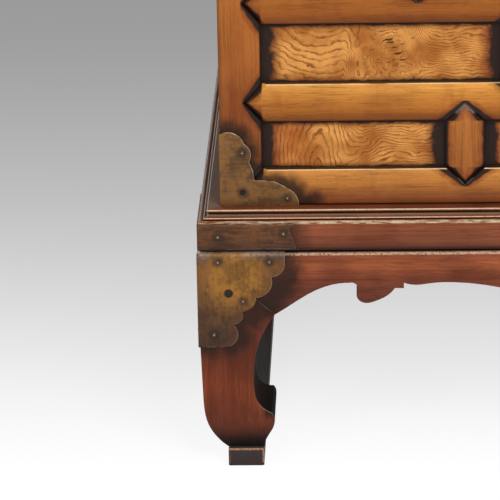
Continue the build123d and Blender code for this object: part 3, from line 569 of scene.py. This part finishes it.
def first_row_rings(surface, along, low, number):
    """Contours of the lowest panels: an arch that passes into waves.

    along and low are the distances from the figure's middle and from the panel's foot.
    """
    x, z = surface.x, surface.z
    bend = noise(point(x * 0.03, number * 2.7, z * 0.045), 2.0) - 0.5
    small = noise(point(x * 0.11, number * 2.7, z * 0.14), 2.0) - 0.5
    arch = hypotenuse(along / 3.7, (low + 4.0) / 12.0) + bend * 2.4
    waves = low / 2.9 - ramp(along, 20.0, 90.0) * 2.0 + bend * 8.0
    return blend(ramp(along, 14.0, 46.0), arch, waves) + small * 0.9


def second_row_rings(surface, along, low, number):
    """Contours of the second row: bent rings, then upright lines, a knot and ripples."""
    x, z = surface.x, surface.z
    bend = noise(point(x * 0.026, number * 3.1 + 20.0, z * 0.045), 2.0) - 0.5
    small = noise(point(x * 0.12, number * 3.1 + 20.0, z * 0.15), 2.0) - 0.5
    smile = hypotenuse(along, low - 68.0) / 5.4 + bend * 4.5
    upright = along / 6.5 + bend * 6.0
    knot = hypotenuse((along - 56.0) / 7.5, (low - 24.0) / 5.0) + bend * 9.0 + small * 3.0
    ripples = low / 2.7 + bend * 8.0
    rings = blend(ramp(along, 18.0, 32.0), smile, upright)
    rings = blend(ramp(along, 34.0, 50.0), rings, knot)
    return blend(ramp(along, 66.0, 92.0), rings, ripples) + small


def front_burl():
    """Panels of the two lower rows, with each row's figure moved along from panel to panel."""
    surface = Surface("front_burl")
    x, z = surface.x, surface.z
    end_1, local_1, number_1 = span_distance(x, -INNER_HALF, INNER_HALF, ROW_1_PANELS)
    end_2, local_2, number_2 = span_distance(x, -INNER_HALF, INNER_HALF, ROW_2_PANELS)
    along_1 = local_1 - 47.0 - calc("FRACT", number_1 * 0.37) * 60.0
    along_2 = local_2 - 50.0 - calc("FRACT", number_2 * 0.41) * 70.0
    low_1, low_2 = z - ROW_1[0], z - ROW_2[0]
    upper = ramp(z, ROW_SPLIT, ROW_SPLIT + 2.0)
    rings = blend(upper, first_row_rings(surface, along_1, low_1, number_1),
                  second_row_rings(surface, along_2, low_2, number_2))
    knotted = peak(along_2, 58.0, 32.0) * peak(low_2, 29.0, 22.0) * upper
    colour, height = figured_colour(surface, rings, 1.0 - upper * 0.1 - knotted * 0.4)

    split = point((local_2 + low_2 * 0.4) * 0.07, number_2, (low_2 - local_2 * 0.3) * 0.42)
    crack = ramp(noise(split, 2.0), 0.61, 0.65) * ramp(knotted, 0.1, 0.4)
    colour = paint(crack * 0.9, colour, tint("2a150b"))
    red = peak(local_1, 14.0, 34.0) * (1.0 - upper) + peak(local_2, 198.0, 22.0) * upper
    colour = paint(red * 0.4, colour, tint("a04a1c"))
    side = blend(upper, end_1, end_2)
    top = blend(upper, lowest(low_1, ROW_1[1] - SHADED - z), lowest(low_2, ROW_2[1] - SHADED - z))
    colour, stain = stained_ends(surface, colour, side, top)
    return surface.finish(colour, stain * 0.15 + 0.36, height - crack, 0.2)


def burl(name, side, top, seed, at_side=False):
    """A figured panel away from the rows, on the front or at the chest's sides.

    side and top are functions that give the distances to its ends and to its long edges.
    """
    surface = Surface(name)
    along, z = surface.y if at_side else surface.x, surface.z
    bend = noise(point(along * 0.016 + seed, surface.x * 0.004, z * 0.012), 2.0, 0.45, 0.4)
    small = noise(point(along * 0.09, seed, z * 0.07), 2.0)
    colour, height = figured_colour(surface, bend * 17.0 + z / 26.0 + small * 0.7, 1.0, 0.45)
    colour, stain = stained_ends(surface, colour, side(surface), top(surface))
    if at_side:
        inside = ramp(surface.wide, SIDE_PANEL_INNER + 2.0, SIDE_PANEL_INNER)
    else:
        inside = ramp(surface.facing_y, 0.7, 0.9)
    colour = paint(inside * 0.85, colour, tint(BARE))
    return surface.finish(colour, stain * 0.15 + 0.36, height, 0.2)


def column_side(surface):
    """Distance to the ends of the panels beside the flap."""
    return lowest(INNER_HALF - surface.wide, surface.wide - COLUMN_INNER)


def column_top(surface):
    """Distance to the short rails above and below those panels."""
    return span_distance(surface.z, *FLAP_ZONE, COLUMN_PANELS)[0]


def flap_side(surface):
    """Distance to the stiles, the middle stile and the muntins of the flap."""
    muntin = abs(surface.wide - FLAP_MUNTIN) - MUNTIN / 2
    return lowest(FLAP_INNER - surface.wide, surface.wide - FLAP_CENTRE, muntin)


def flap_top(surface):
    """Distance to the rails of the flap."""
    return lowest(surface.z - FLAP_PANEL_Z[0], FLAP_PANEL_Z[1] - surface.z)


def side_side(surface):
    """Distance to the posts at the chest's sides."""
    return lowest(surface.y - (FRONT + SIDE_POST), (BACK - SIDE_POST) - surface.y)


def side_top(surface):
    """Distance to the rails at the chest's sides, which part the panels in four."""
    rows = [(ROW_1[0], ROW_2[1]), (FLAP_ZONE[0], SIDE_RAIL[0]), (SIDE_RAIL[1], FLAP_ZONE[1]),
            DRAWER_ZONE]
    return highest(*[lowest(surface.z - low, high - surface.z) for low, high in rows])


def drawer_wood():
    """Drawers: a figured front stained at its edges, plain boards behind."""
    surface = Surface("drawer")
    x, y, z = surface.x, surface.y, surface.z
    side, _, number = span_distance(x, -INNER_HALF, INNER_HALF, DRAWERS)
    bend = noise(point(x * 0.014, number * 2.3, z * 0.02), 2.0, 0.45, 0.4)
    small = noise(point(x * 0.09, number, z * 0.09), 2.0)
    colour, height = figured_colour(surface, bend * 18.0 + small * 0.9, 1.0, 0.45)
    top = lowest(z - DRAWER_ZONE[0], DRAWER_ZONE[1] - z)
    colour, _ = stained_ends(surface, colour, side, top, 6.5)
    front_face = ramp(surface.facing_y, -0.5, -0.8) * ramp(y, FRONT + 2.0, FRONT + 1.0)
    boards = gradient(z, [(740.0, "b48a5c"), (840.0, "b88e60")])
    plain, plain_height = grained(surface, "Y", boards, 0.3)
    colour = paint(front_face, plain, colour)
    height = blend(front_face, plain_height, height)
    return surface.finish(colour, 0.5 - front_face * 0.12, height, 0.2)


# ------------------------------------------------------------------ stand and tray
def leg_hollow(surface):
    """1 on the faces of a leg that look inward, back or down, which are painted with shade for the
    dark under the chest.
    """
    wide, z = surface.wide, surface.z
    outward = surface.facing_x * calc("SIGN", surface.x)
    ahead = surface.facing_y * calc("SIGN", surface.y)
    within = ramp(ahead, 0.75, 0.5) * ramp(outward, 0.75, 0.5)
    within = within * ramp(wide, LEG_HOLLOW + 3.0, LEG_HOLLOW) * ramp(z, FOOT_TOP - 4.0, FOOT_TOP)
    return highest(ramp(outward, -0.25, -0.5), ramp(ahead, -0.4, -0.7),
                   ramp(surface.facing_z, -0.2, -0.5), within)


def leg_marks(surface, colour):
    """Painted shade on the hook of a leg's knee, the pale line along it from wear and a painted
    highlight, and painted shade on the foot.
    """
    wide, z = surface.wide, surface.z
    # painted shade: the hooked end of the knee lies in shadow
    hook_shade = band(z, *HOOK, 5.0) * ramp(wide, HOOK_END + 5.0, HOOK_END)
    colour = paint(hook_shade * 0.9, colour, tint("120d0c"))
    # pale line along the hook's arris: wear and a painted highlight
    line = surface.worn * band(z, HOOK[0], HOOK[0] + 14.0, 3.0)
    line = line * ramp(surface.facing_y, -0.6, -0.9) * ramp(wide, LEG_HOLLOW + 4.0, LEG_HOLLOW)
    colour = paint(line * 0.9, colour, tint("b89a86"))
    # painted shade: the foot curves under, away from the light
    foot = ramp(z, FOOT_TOP, RUNNER_TOP + 1.0)
    return paint(foot * 0.8, colour, tint("201a1b"))


def open_mitre(surface, colour, fine):
    """The line where leg and apron meet, a little open and rubbed in places."""
    wide, z = surface.wide, surface.z
    seam = abs((wide - MITRE_END[0]) * 0.65 - (z - MITRE_END[1]) * 0.76)
    seam = seam + ramp(z, 158.0, 162.0) * 30.0
    seam = seam + ramp(surface.y, STAND_FRONT + 1.0, STAND_FRONT + 3.0) * 30.0
    colour = paint(ramp(seam, 6.0, 0.5) * 0.55, colour, tint(STAND_SOOT))
    pale_marks = ramp(seam, 0.45, 0.15) * ramp(fine, 0.42, 0.58)
    return paint(pale_marks * 0.2, colour, tint("a08874"))


def stand_wood(name, direction, colours, leg=False):
    """Dark reddish wood of the stand, sooty round the plates, with painted shade on faces that look
    down or into the stand and on its flat top, and pale marks along its top edge from wear and a
    painted highlight.
    """
    surface = Surface(name, arris=1.1)
    ragged, fine = surface.speckle(0.12), surface.speckle(0.45)
    z = surface.z
    colour, height = grained(surface, direction, gradient(z, colours), 1.1)
    broad = surface.speckle(0.018, 2.0)
    colour = paint(ramp(broad, 0.6, 0.3) * 0.45, colour, tint("4e2418"))
    on_front = ramp(surface.y, STAND_FRONT + 30.0, STAND_FRONT + 28.0)
    soot = stand_soot(surface, ragged) * on_front
    colour = paint(soot * 0.85, colour, tint(STAND_SOOT))
    dusty = surface.worn * ramp(fine, 0.35, 0.6)
    rough = fine * 0.12 + 0.3
    if leg:
        # painted shade: near black on a leg's inward, back and under faces
        hollow_shade = leg_hollow(surface)
        colour = leg_marks(surface, paint(hollow_shade * 0.95, colour, tint("0a0707")))
        dusty = dusty * (1.0 - hollow_shade) * 0.6
        rough = rough + hollow_shade * 0.55
    # painted shade on faces that look down
    underside_shade = ramp(surface.facing_z, -0.5, -0.8)
    colour = paint(underside_shade * 0.7, colour, tint("20130f"))
    # painted shade on the inner faces of the stand's front, under the chest
    behind = ramp(surface.facing_y, 0.6, 0.9) * on_front
    colour = paint(behind * 0.7, colour, tint("33201a"))
    colour = paint(dusty * 0.55, colour, tint("9a6a4c"))
    colour = open_mitre(surface, colour, fine)

    top = STAND_TOP - 3.5
    # painted shade on the flat top behind the rounded edge
    shaded_top = ramp(surface.facing_z, 0.9, 0.99) * ramp(z, top - 1.0, top)
    colour = paint(shaded_top * 0.7, colour, tint("1e1411"))
    # pale marks along the rounded top edge: wear and a painted highlight
    lit_crest = band(surface.facing_z, 0.4, 0.82, 0.14) * ramp(z, top - 1.5, top) * on_front
    pale_marks = lit_crest * ramp(surface.speckle(0.6), 0.34, 0.56) * (1.0 - soot * 0.4)
    colour = paint(pale_marks * 0.8, colour, tint("ccb598"))
    return surface.finish(colour, rough, height, 0.25, specular=0.13)


def tray_wood():
    """The tray: red-brown ledge and fascia, dark coves, pale nosing and beads from wear and a
    painted highlight.
    """
    surface = Surface("tray", arris=0.5)
    x, y, z, wide = surface.x, surface.y, surface.z, surface.wide
    ragged, fine = surface.speckle(0.12), surface.speckle(0.5)
    ahead, beside = FRONT - y, wide - HALF_WIDTH
    side = highest(ramp(beside - ahead, -0.6, 0.6), ramp(y, -10.0, 10.0))
    out = highest(ahead, beside)
    fascia_colours = [(TRAY_FOOT - 1.0, "40201a"), (203.0, "733f2a"), (CROWN[0] - 0.1, "85492e")]
    fascia, height = grained(surface, "X", gradient(z, fascia_colours), 0.9)
    colour = paint(ramp(z, LEDGE_TOP - 0.5, LEDGE_TOP - 0.2), fascia, shade(fascia, 0.8))
    near_body = ramp(out, 3.0, 0.5) * ramp(z, LEDGE_TOP - 0.7, LEDGE_TOP - 0.2)
    colour = paint(near_body * 0.8, colour, tint("2a1a14"))

    under_nosing = ramp(out, NOSING_OUT - 3.5, NOSING_OUT - 2.0)
    cove = band(z, *COVE, 0.4) * under_nosing
    bead = band(z, *BEAD, 0.3) * under_nosing
    groove = ramp(z, LIP[0] - 0.1, LIP[0] - 0.6) * ramp(z, CROWN[0] + 1.0, CROWN[0] + 1.3)
    groove = groove * ramp(out, CROWN_OUT - 0.3, CROWN_OUT - 0.9)
    colour = paint(highest(cove, groove) * (0.93 - side * 0.4), colour, tint(TRAY_DARK))
    colour = paint(bead * 0.8, colour, tint("6d6454"))
    broken = noise(point(x * 0.1, y * 0.1, z * 0.9))
    worn = ramp(fine, 0.25, 0.55) * 0.5 + 0.5
    nosing = band(z, *NOSING, 0.3) * ramp(out, NOSING_OUT - 0.7, NOSING_OUT)
    lip = band(z, *LIP, 0.25) * ramp(out, LIP_OUT - 0.5, LIP_OUT)
    crown = band(z, *CROWN, 0.5) * ramp(out, CROWN_OUT - 0.6, CROWN_OUT)
    # pale nosing, lip and crown: wear and a painted highlight on the rounded edges
    pale = highest(nosing, lip, crown * ramp(broken, 0.36, 0.6) * 0.85) * worn
    colour = paint(pale * 0.85, colour, tint("e2cba8"))

    low_edge = ramp(z, TRAY_FOOT + 3.0, TRAY_FOOT) * ramp(out, LIP_OUT - 2.4, LIP_OUT - 0.4)
    colour = paint(low_edge * 0.75, colour, tint(TRAY_DARK))
    on_fascia = ramp(z, CROWN[1], CROWN[1] - 3.0)
    strap_end = ramp(wide - ragged * 6.0, STRAP_END - 24.0, STRAP_END) * on_fascia
    strap_end = strap_end * ramp(z, TRAY_FOOT, TRAY_FOOT + 2.0)
    colour = paint(strap_end * 0.8, colour, tint("281812"))
    colour = paint(side * 0.68, colour, tint("725c4e"))
    return surface.finish(colour, fine * 0.12 + 0.32, height, 0.2, specular=0.13)


def runner_wood():
    """The runners: dark and dusty, their front ends pale at the edges from wear and a painted
    highlight.
    """
    surface = Surface("runner", arris=1.0)
    colours = gradient(surface.z, [(0.0, "332d2e"), (RUNNER_TOP, "3b3435")])
    colour, height = grained(surface, "Y", colours, 0.6)
    fine = surface.speckle(0.4)
    front_end = ramp(surface.y, STAND_FRONT + 9.0, STAND_FRONT + 7.0)
    # upward and right-facing arrises at the front: pale from wear and a painted highlight
    lit_crest = band(surface.facing_z, 0.3, 0.94, 0.08) + band(surface.facing_x, 0.3, 0.94, 0.08)
    pale_marks = clamp(lit_crest + surface.worn) * (ramp(fine, 0.3, 0.55) * 0.7 + 0.3)
    pale_marks = pale_marks * front_end * ramp(surface.z, 1.5, 3.0)
    colour = paint(pale_marks * 0.72, colour, tint("c4906a"))
    return surface.finish(colour, fine * 0.15 + 0.5, height, 0.3)


# ------------------------------------------------------------------ brass
def brass_sheet(name, colours, nails, hole=None, heart=None, streaks=0.2, rim=(482.0, 0.8),
                upright=False):
    """Old brass sheet: mottled brown, its cut edge pale from wear and a painted highlight, soot
    round the nails.

    hole is the place, height and radius of a torn hole, and heart those of the yellower middle.
    rim says how far out the pale cut edge reaches, and how strongly it is painted. upright turns
    the brush marks.
    """
    surface = Surface(name, arris=1.2)
    x, y, z, wide = surface.x, surface.y, surface.z, surface.wide
    broad = surface.speckle(0.045, 3.0, 0.6)
    fine = surface.speckle(0.35, 4.0, 0.65)
    across, along = (0.5, 0.06) if upright else (0.06, 0.5)
    brushed = noise(point(x * across, y * across, z * along))
    patina = ramp(broad * (0.7 - streaks) + fine * 0.3 + brushed * streaks, 0.38, 0.6)
    colour = gradient(z + (broad - 0.5) * 9.0, colours)
    if heart:
        place, level, radius = heart
        away = hypotenuse(wide - place, z - level) + (broad - 0.5) * 40.0
        colour = paint(ramp(away, radius, radius * 0.4) * 0.75, colour, tint("a06c26"))
    colour = shade(colour, patina * 0.75 + 0.5)
    stains = ramp(surface.speckle(0.16, 2.0), 0.6, 0.72)
    colour = paint(stains * 0.45, colour, tint("3a2a1a"))
    facing = ramp(surface.facing_y, -0.5, -0.8)
    halo = ramp(spot_distance(wide, z, nails), 7.0, 2.2) * facing
    colour = paint(halo * 0.7, colour, tint("21170f"))
    pit = fine * 0.5
    if hole:
        place, level, radius = hole
        # the torn hole is painted black, standing for the shade inside it
        off_hole = hypotenuse(x - place, z - level) - fine * radius * 0.8
        torn = ramp(off_hole, radius * 0.75, radius * 0.5) * facing
        colour = paint(torn * 0.95, colour, tint("120c09"))
        pit = pit - torn * 3.0
    reach, strength = rim
    # pale cut edge: wear and a painted highlight
    bright = surface.worn * ramp(surface.speckle(0.15), 0.36, 0.56)
    bright = bright * ramp(wide, reach, reach - 2.0)
    colour = paint(bright * strength, colour, tint("d8c6a4"))
    return surface.finish(colour, fine * 0.2 + 0.36, pit + broad, 0.15, specular=0.4,
                          metallic=0.35)


def fitting_brass():
    """Cast brass fittings, mottled dark and pale."""
    surface = Surface("fitting", arris=0.5)
    broad = surface.speckle(0.03, 3.0, 0.6)
    fine = surface.speckle(0.35, 4.0, 0.6)
    patina = ramp(broad * 0.7 + fine * 0.3, 0.35, 0.62)
    colour = paint(patina, tint("5a4426"), tint("a8844a"))
    return surface.finish(colour, fine * 0.25 + 0.34, fine + broad, 0.12, specular=0.5,
                          metallic=0.8)


def nail_brass():
    """Dark nail heads, each with its crown painted bright, from wear and a painted highlight."""
    surface = Surface("nail", arris=0.3)
    fine = surface.speckle(0.6)
    # the crown's pale dot is a painted highlight, partly wear
    crown = ramp(highest(abs(surface.facing_x), abs(surface.facing_y)), 0.986, 0.998)
    colour = paint(crown * 0.7, paint(fine, tint("3a2a1a"), tint("5c452c")), tint("dccfb8"))
    return surface.finish(colour, fine * 0.2 + 0.3, fine, 0.1, specular=0.5, metallic=0.4)


# ------------------------------------------------------------------ which piece has which look
def dress(material, *names):
    """Give CAD nodes a material."""
    for name in names:
        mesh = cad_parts[name].data
        mesh.materials.clear()
        mesh.materials.append(material)


def rail_colours(low, high, codes):
    """Colours in even steps over a rail's height."""
    return [(low + (high - low) * i / (len(codes) - 1), code) for i, code in enumerate(codes)]


RAIL_LOOKS = [
    ("bottom_rail", "front_rail_bottom", ("6e381a", "8a4e26", "a8692f", "bd7a38", "cc8a44")),
    ("lower_rail", "front_rail_lower", ("663612", "96581f", "b4702c", "c68438", "da9848")),
    ("hinge_rail", "hinge_rail", ("6c3a14", "8e4f1c", "9c5b22", "a46226", "b87632")),
    ("drawer_rail", "drawer_rail", ("8a4e22", "a0602a", "b87438")),
    ("top_rail", "front_rail_top", ("8a4e22", "a0602a", "b87438")),
]
SHORT_RAIL = [(420.0, "a4622d"), (720.0, "9c5c2a")]
STILE = [(200.0, "6c381a"), (300.0, "84471f"), (345.0, "985624"), (420.0, "a25f28"),
         (880.0, "8f5122")]
LOW_MUNTIN = [(250.0, "9c5a28"), (300.0, "aa682f"), (400.0, "aa682f")]
POST = [(255.0, "a2602c"), (440.0, "a4622d"), (880.0, "9c5c2a")]
SIDE = [(230.0, "7c4622"), (420.0, "96582a"), (880.0, "8f5326")]
APRON = [(135.0, "4c241a"), (160.0, "5e3022"), (172.0, "7a3e29"), (184.0, "94502f"),
         (192.0, "8a4a30")]
# The lowest stops of LEG, near black, are painted shade where the foot curves under
LEG = [(15.0, "1e1716"), (24.0, "38231c"), (40.0, "683220"), (75.0, "78381f"),
       (108.0, "602c1b"), (140.0, "6a3623"), (195.0, "7c4430")]
TOP = [(865.0, "5a3018"), (900.0, "8a5028")]
INSIDE = [(190.0, "9a7850"), (900.0, "ba946a")]
BODY_PLATE = [(230.0, "704b24"), (296.0, "7b552b"), (870.0, "7b552b")]
STRAP = [(197.0, "3c2415"), (208.0, "5c361b"), (220.0, "66401f")]
# The top stops of STAND_PLATE, greyish pink on the lip over the stand's rounded top, are a painted
# sheen
STAND_PLATE = [(108.0, "40281a"), (135.0, "52341c"), (165.0, "6a451f"), (186.0, "6e4822"),
               (190.5, "604634"), (197.0, "968070")]
FLAP_PLATE = [(420.0, "7c5c30"), (760.0, "866434")]

for (name, node, codes), (low, high) in zip(RAIL_LOOKS, RAILS):
    dress(frame_wood(name, "X", rail_colours(low, high, codes)), node)
dress(frame_wood("small_rails", "X", SHORT_RAIL), "column_rails", "flap_rails")
dress(frame_wood("stiles", "Z", STILE), "front_stiles")
dress(frame_wood("muntins", "Z", LOW_MUNTIN, muntin_edges), "front_muntins")
dress(frame_wood("posts", "Z", POST), "flap_posts", "drawer_dividers", "flap_stiles",
      "flap_muntins")
dress(side_wood("rear_posts", "Z", STILE), "rear_posts")
dress(side_wood("side_rails", "Y", SIDE), "side_rails")
dress(front_burl(), "front_panels")
dress(burl("column_burl", column_side, column_top, 3.0), "column_panels")
dress(burl("flap_burl", flap_side, flap_top, 7.0), "flap_panels")
dress(burl("side_burl", side_side, side_top, 11.0, at_side=True), "side_panels")

dress(stand_wood("apron_level", "X", APRON), "apron_front", "apron_rear")
dress(stand_wood("apron_side", "Y", APRON), "apron_left", "apron_right")
dress(stand_wood("leg", "Z", LEG, leg=True), "leg_front_left", "leg_front_right",
      "leg_rear_left", "leg_rear_right")
dress(tray_wood(), "base_moulding_front", "base_moulding_returns")
dress(runner_wood(), "runner_left", "runner_right")
dress(plain_wood("top", TOP, 0.42, "c89a6a", 0.5), "top_board", "cornice_moulding")
dress(plain_wood("inner", INSIDE, 0.55, "c8a67c", 0.3, 0.25, (BODY_TOP - LEDGE_TOP) / BACK_BOARDS),
      "back_boards", "bottom_board", "drawer_deck", "drawer_guides")

fitting = fitting_brass()
drawer = drawer_wood()
for number in range(1, DRAWERS + 1):
    dress(drawer, f"drawer_{number}")
    dress(fitting, f"drawer_{number}_eye", f"drawer_{number}_ring")
dress(fitting, "flap_ring_eyes", "flap_ring_left", "flap_ring_right", "hasp", "lock_staple",
      "side_handle_left", "side_handle_right", "side_handle_posts")
dress(brass_sheet("body_plate", BODY_PLATE, BODY_NAILS, (*LOST_NAIL, 2.4)), "body_corner_plates")
dress(brass_sheet("strap", STRAP, STRAP_NAILS, streaks=0.5, rim=(480.0, 0.35)), "base_straps")
dress(brass_sheet("stand_plate", STAND_PLATE, STAND_NAILS, (*TORN_HOLE, 3.6),
                  heart=(474.0, 172.0, 36.0), rim=(500.0, 0.4), upright=True),
      "stand_corner_plates")
dress(brass_sheet("lock", FLAP_PLATE, [(0.0, 0.0)]), "lock_plate", "hinge_leaves_body",
      "hinge_leaves_flap")


# ------------------------------------------------------------------ nails
def dome(radius, rise):
    """A domed nail head standing up from Z = 0."""
    mesh = bmesh.new()
    turns = [2 * math.pi * i / DOME_SIDES for i in range(DOME_SIDES)]
    steps = [(i, (i + 1) % DOME_SIDES) for i in range(DOME_SIDES)]
    below = None
    for ring in range(DOME_RINGS):
        angle = ring / DOME_RINGS * math.pi / 2
        reach, height = radius * math.cos(angle), rise * math.sin(angle)
        loop = [mesh.verts.new((reach * math.cos(t), reach * math.sin(t), height)) for t in turns]
        if below:
            for i, following in steps:
                mesh.faces.new((below[i], below[following], loop[following], loop[i]))
        below = loop
    tip = mesh.verts.new((0, 0, rise))
    for i, following in steps:
        mesh.faces.new((below[i], below[following], tip))
    return mesh


old_nail = nail_brass()


def nail(name, place, outward):
    """A nail head at a place in millimetres, its dome towards outward."""
    mesh = dome(NAIL_RADIUS / MM, NAIL_RISE / MM)
    turn = Vector(outward).to_track_quat("Z", "Y").to_matrix().to_4x4()
    mesh.transform(Matrix.Translation(Vector(place) / MM) @ turn)
    bmesh.ops.recalc_face_normals(mesh, faces=mesh.faces)
    data = bpy.data.meshes.new(name)
    mesh.to_mesh(data)
    mesh.free()
    data.shade_smooth()
    data.materials.append(old_nail)
    piece = bpy.data.objects.new(name, data)
    bpy.context.scene.collection.objects.link(piece)
    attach(piece, "cabinet")


def nail_corner(group, sign, half, front, spots):
    """Nails of one corner plate, on its front and on its side. half and front are its faces."""
    side = "left" if sign < 0 else "right"
    for index, (wide, z) in enumerate(spots, 1):
        if (sign * wide, z) != LOST_NAIL:
            nail(f"nail_{group}_{side}_{index}", (sign * wide, front, z), (0, -1, 0))
        depth = front + half - wide
        nail(f"nail_{group}_{side}_return_{index}", (sign * half, depth, z), (sign, 0, 0))


for sign in (-1, 1):
    nail_corner("stand", sign, STAND_HALF + PLATE, STAND_FRONT - PLATE, STAND_NAILS)
    nail_corner("strap", sign, STAND_HALF, TRAY_FRONT - PLATE, STRAP_NAILS)
    nail_corner("foot", sign, HALF_WIDTH + PLATE, FRONT - PLATE, BODY_NAILS)
    raised = [(wide, LEDGE_TOP + BODY_TOP - z) for wide, z in BODY_NAILS]
    nail_corner("head", sign, HALF_WIDTH + PLATE, FRONT - PLATE, raised)


# ------------------------------------------------------------------ floor, light, camera
def seen_ray(tree):
    """1 for rays that show the backdrop, 0 for those that carry its light."""
    path = tree.nodes.new("ShaderNodeLightPath")
    return clamp(Field(path.outputs["Is Camera Ray"]) + Field(path.outputs["Is Glossy Ray"])
                 + Field(path.outputs["Is Transmission Ray"]))


def make_floor():
    """A level floor that darkens towards the back."""
    data = bpy.data.meshes.new("floor")
    corners = [(-1, -1), (1, -1), (1, 1), (-1, 1)]
    data.from_pydata([(FLOOR_HALF * x, FLOOR_HALF * y, 0) for x, y in corners], [], [(0, 1, 2, 3)])
    floor = bpy.data.objects.new("floor", data)
    bpy.context.scene.collection.objects.link(floor)
    surface = Surface("floor")
    colour = gradient(surface.y, [
        (-296, "ffffff"), (-187, "f8f8f8"), (-71, "f0f0f0"), (54, "e5e5e5"), (188, "d9d9d9"),
        (332, "cccccc"), (487, "bfbfbf"), (655, "b4b4b4"), (837, "a9a9a9"), (1036, "9f9f9f"),
        (1253, "999999")])
    diffuse = add(surface.tree, "BsdfDiffuse", {"Color": colour})
    glow = add(surface.tree, "Emission", {"Color": colour, "Strength": 1.08})
    seen = seen_ray(surface.tree) * 0.9
    mix = add(surface.tree, "MixShader", {0: seen, 1: diffuse, 2: glow})
    data.materials.append(surface.close(mix))


def make_world():
    """Even grey light, a little brighter where the backdrop itself is seen."""
    world = bpy.data.worlds.new("studio")
    world.use_nodes = True
    bpy.context.scene.world = world
    background = world.node_tree.nodes["Background"]
    background.inputs["Color"].default_value = (0.8, 0.8, 0.8, 1.0)
    feed(background.inputs["Strength"], blend(seen_ray(world.node_tree), 0.22, 0.4))


def softbox(name, place, power):
    """A square lamp at a place, pointed at the chest."""
    data = bpy.data.lights.new(name, "AREA")
    data.shape = "SQUARE"
    data.size = LAMP_SIZE
    data.energy = power
    lamp = bpy.data.objects.new(name, data)
    lamp.location = place
    lamp.rotation_euler = (Vector(AIM) - Vector(place)).to_track_quat("-Z", "Y").to_euler()
    bpy.context.scene.collection.objects.link(lamp)


def make_camera():
    """A long lens that looks down at the lower left corner of the front."""
    data = bpy.data.cameras.new("camera")
    data.sensor_width = SENSOR
    data.lens = FOCAL_PIXELS / PICTURE_PIXELS * SENSOR
    data.clip_end = 2 * FLOOR_HALF
    camera = bpy.data.objects.new("camera", data)
    turn = (Matrix.Rotation(math.radians(CAMERA_TURN), 4, "Z")
            @ Matrix.Rotation(math.radians(90 - CAMERA_DIP), 4, "X")
            @ Matrix.Rotation(math.radians(CAMERA_ROLL), 4, "Z"))
    camera.matrix_world = Matrix.Translation(CAMERA_PLACE) @ turn
    bpy.context.scene.collection.objects.link(camera)
    bpy.context.scene.camera = camera


make_floor()
make_world()
for name, place, power in LAMPS:
    softbox(name, place, power)
make_camera()
bpy.context.scene.view_settings.view_transform = "Standard"
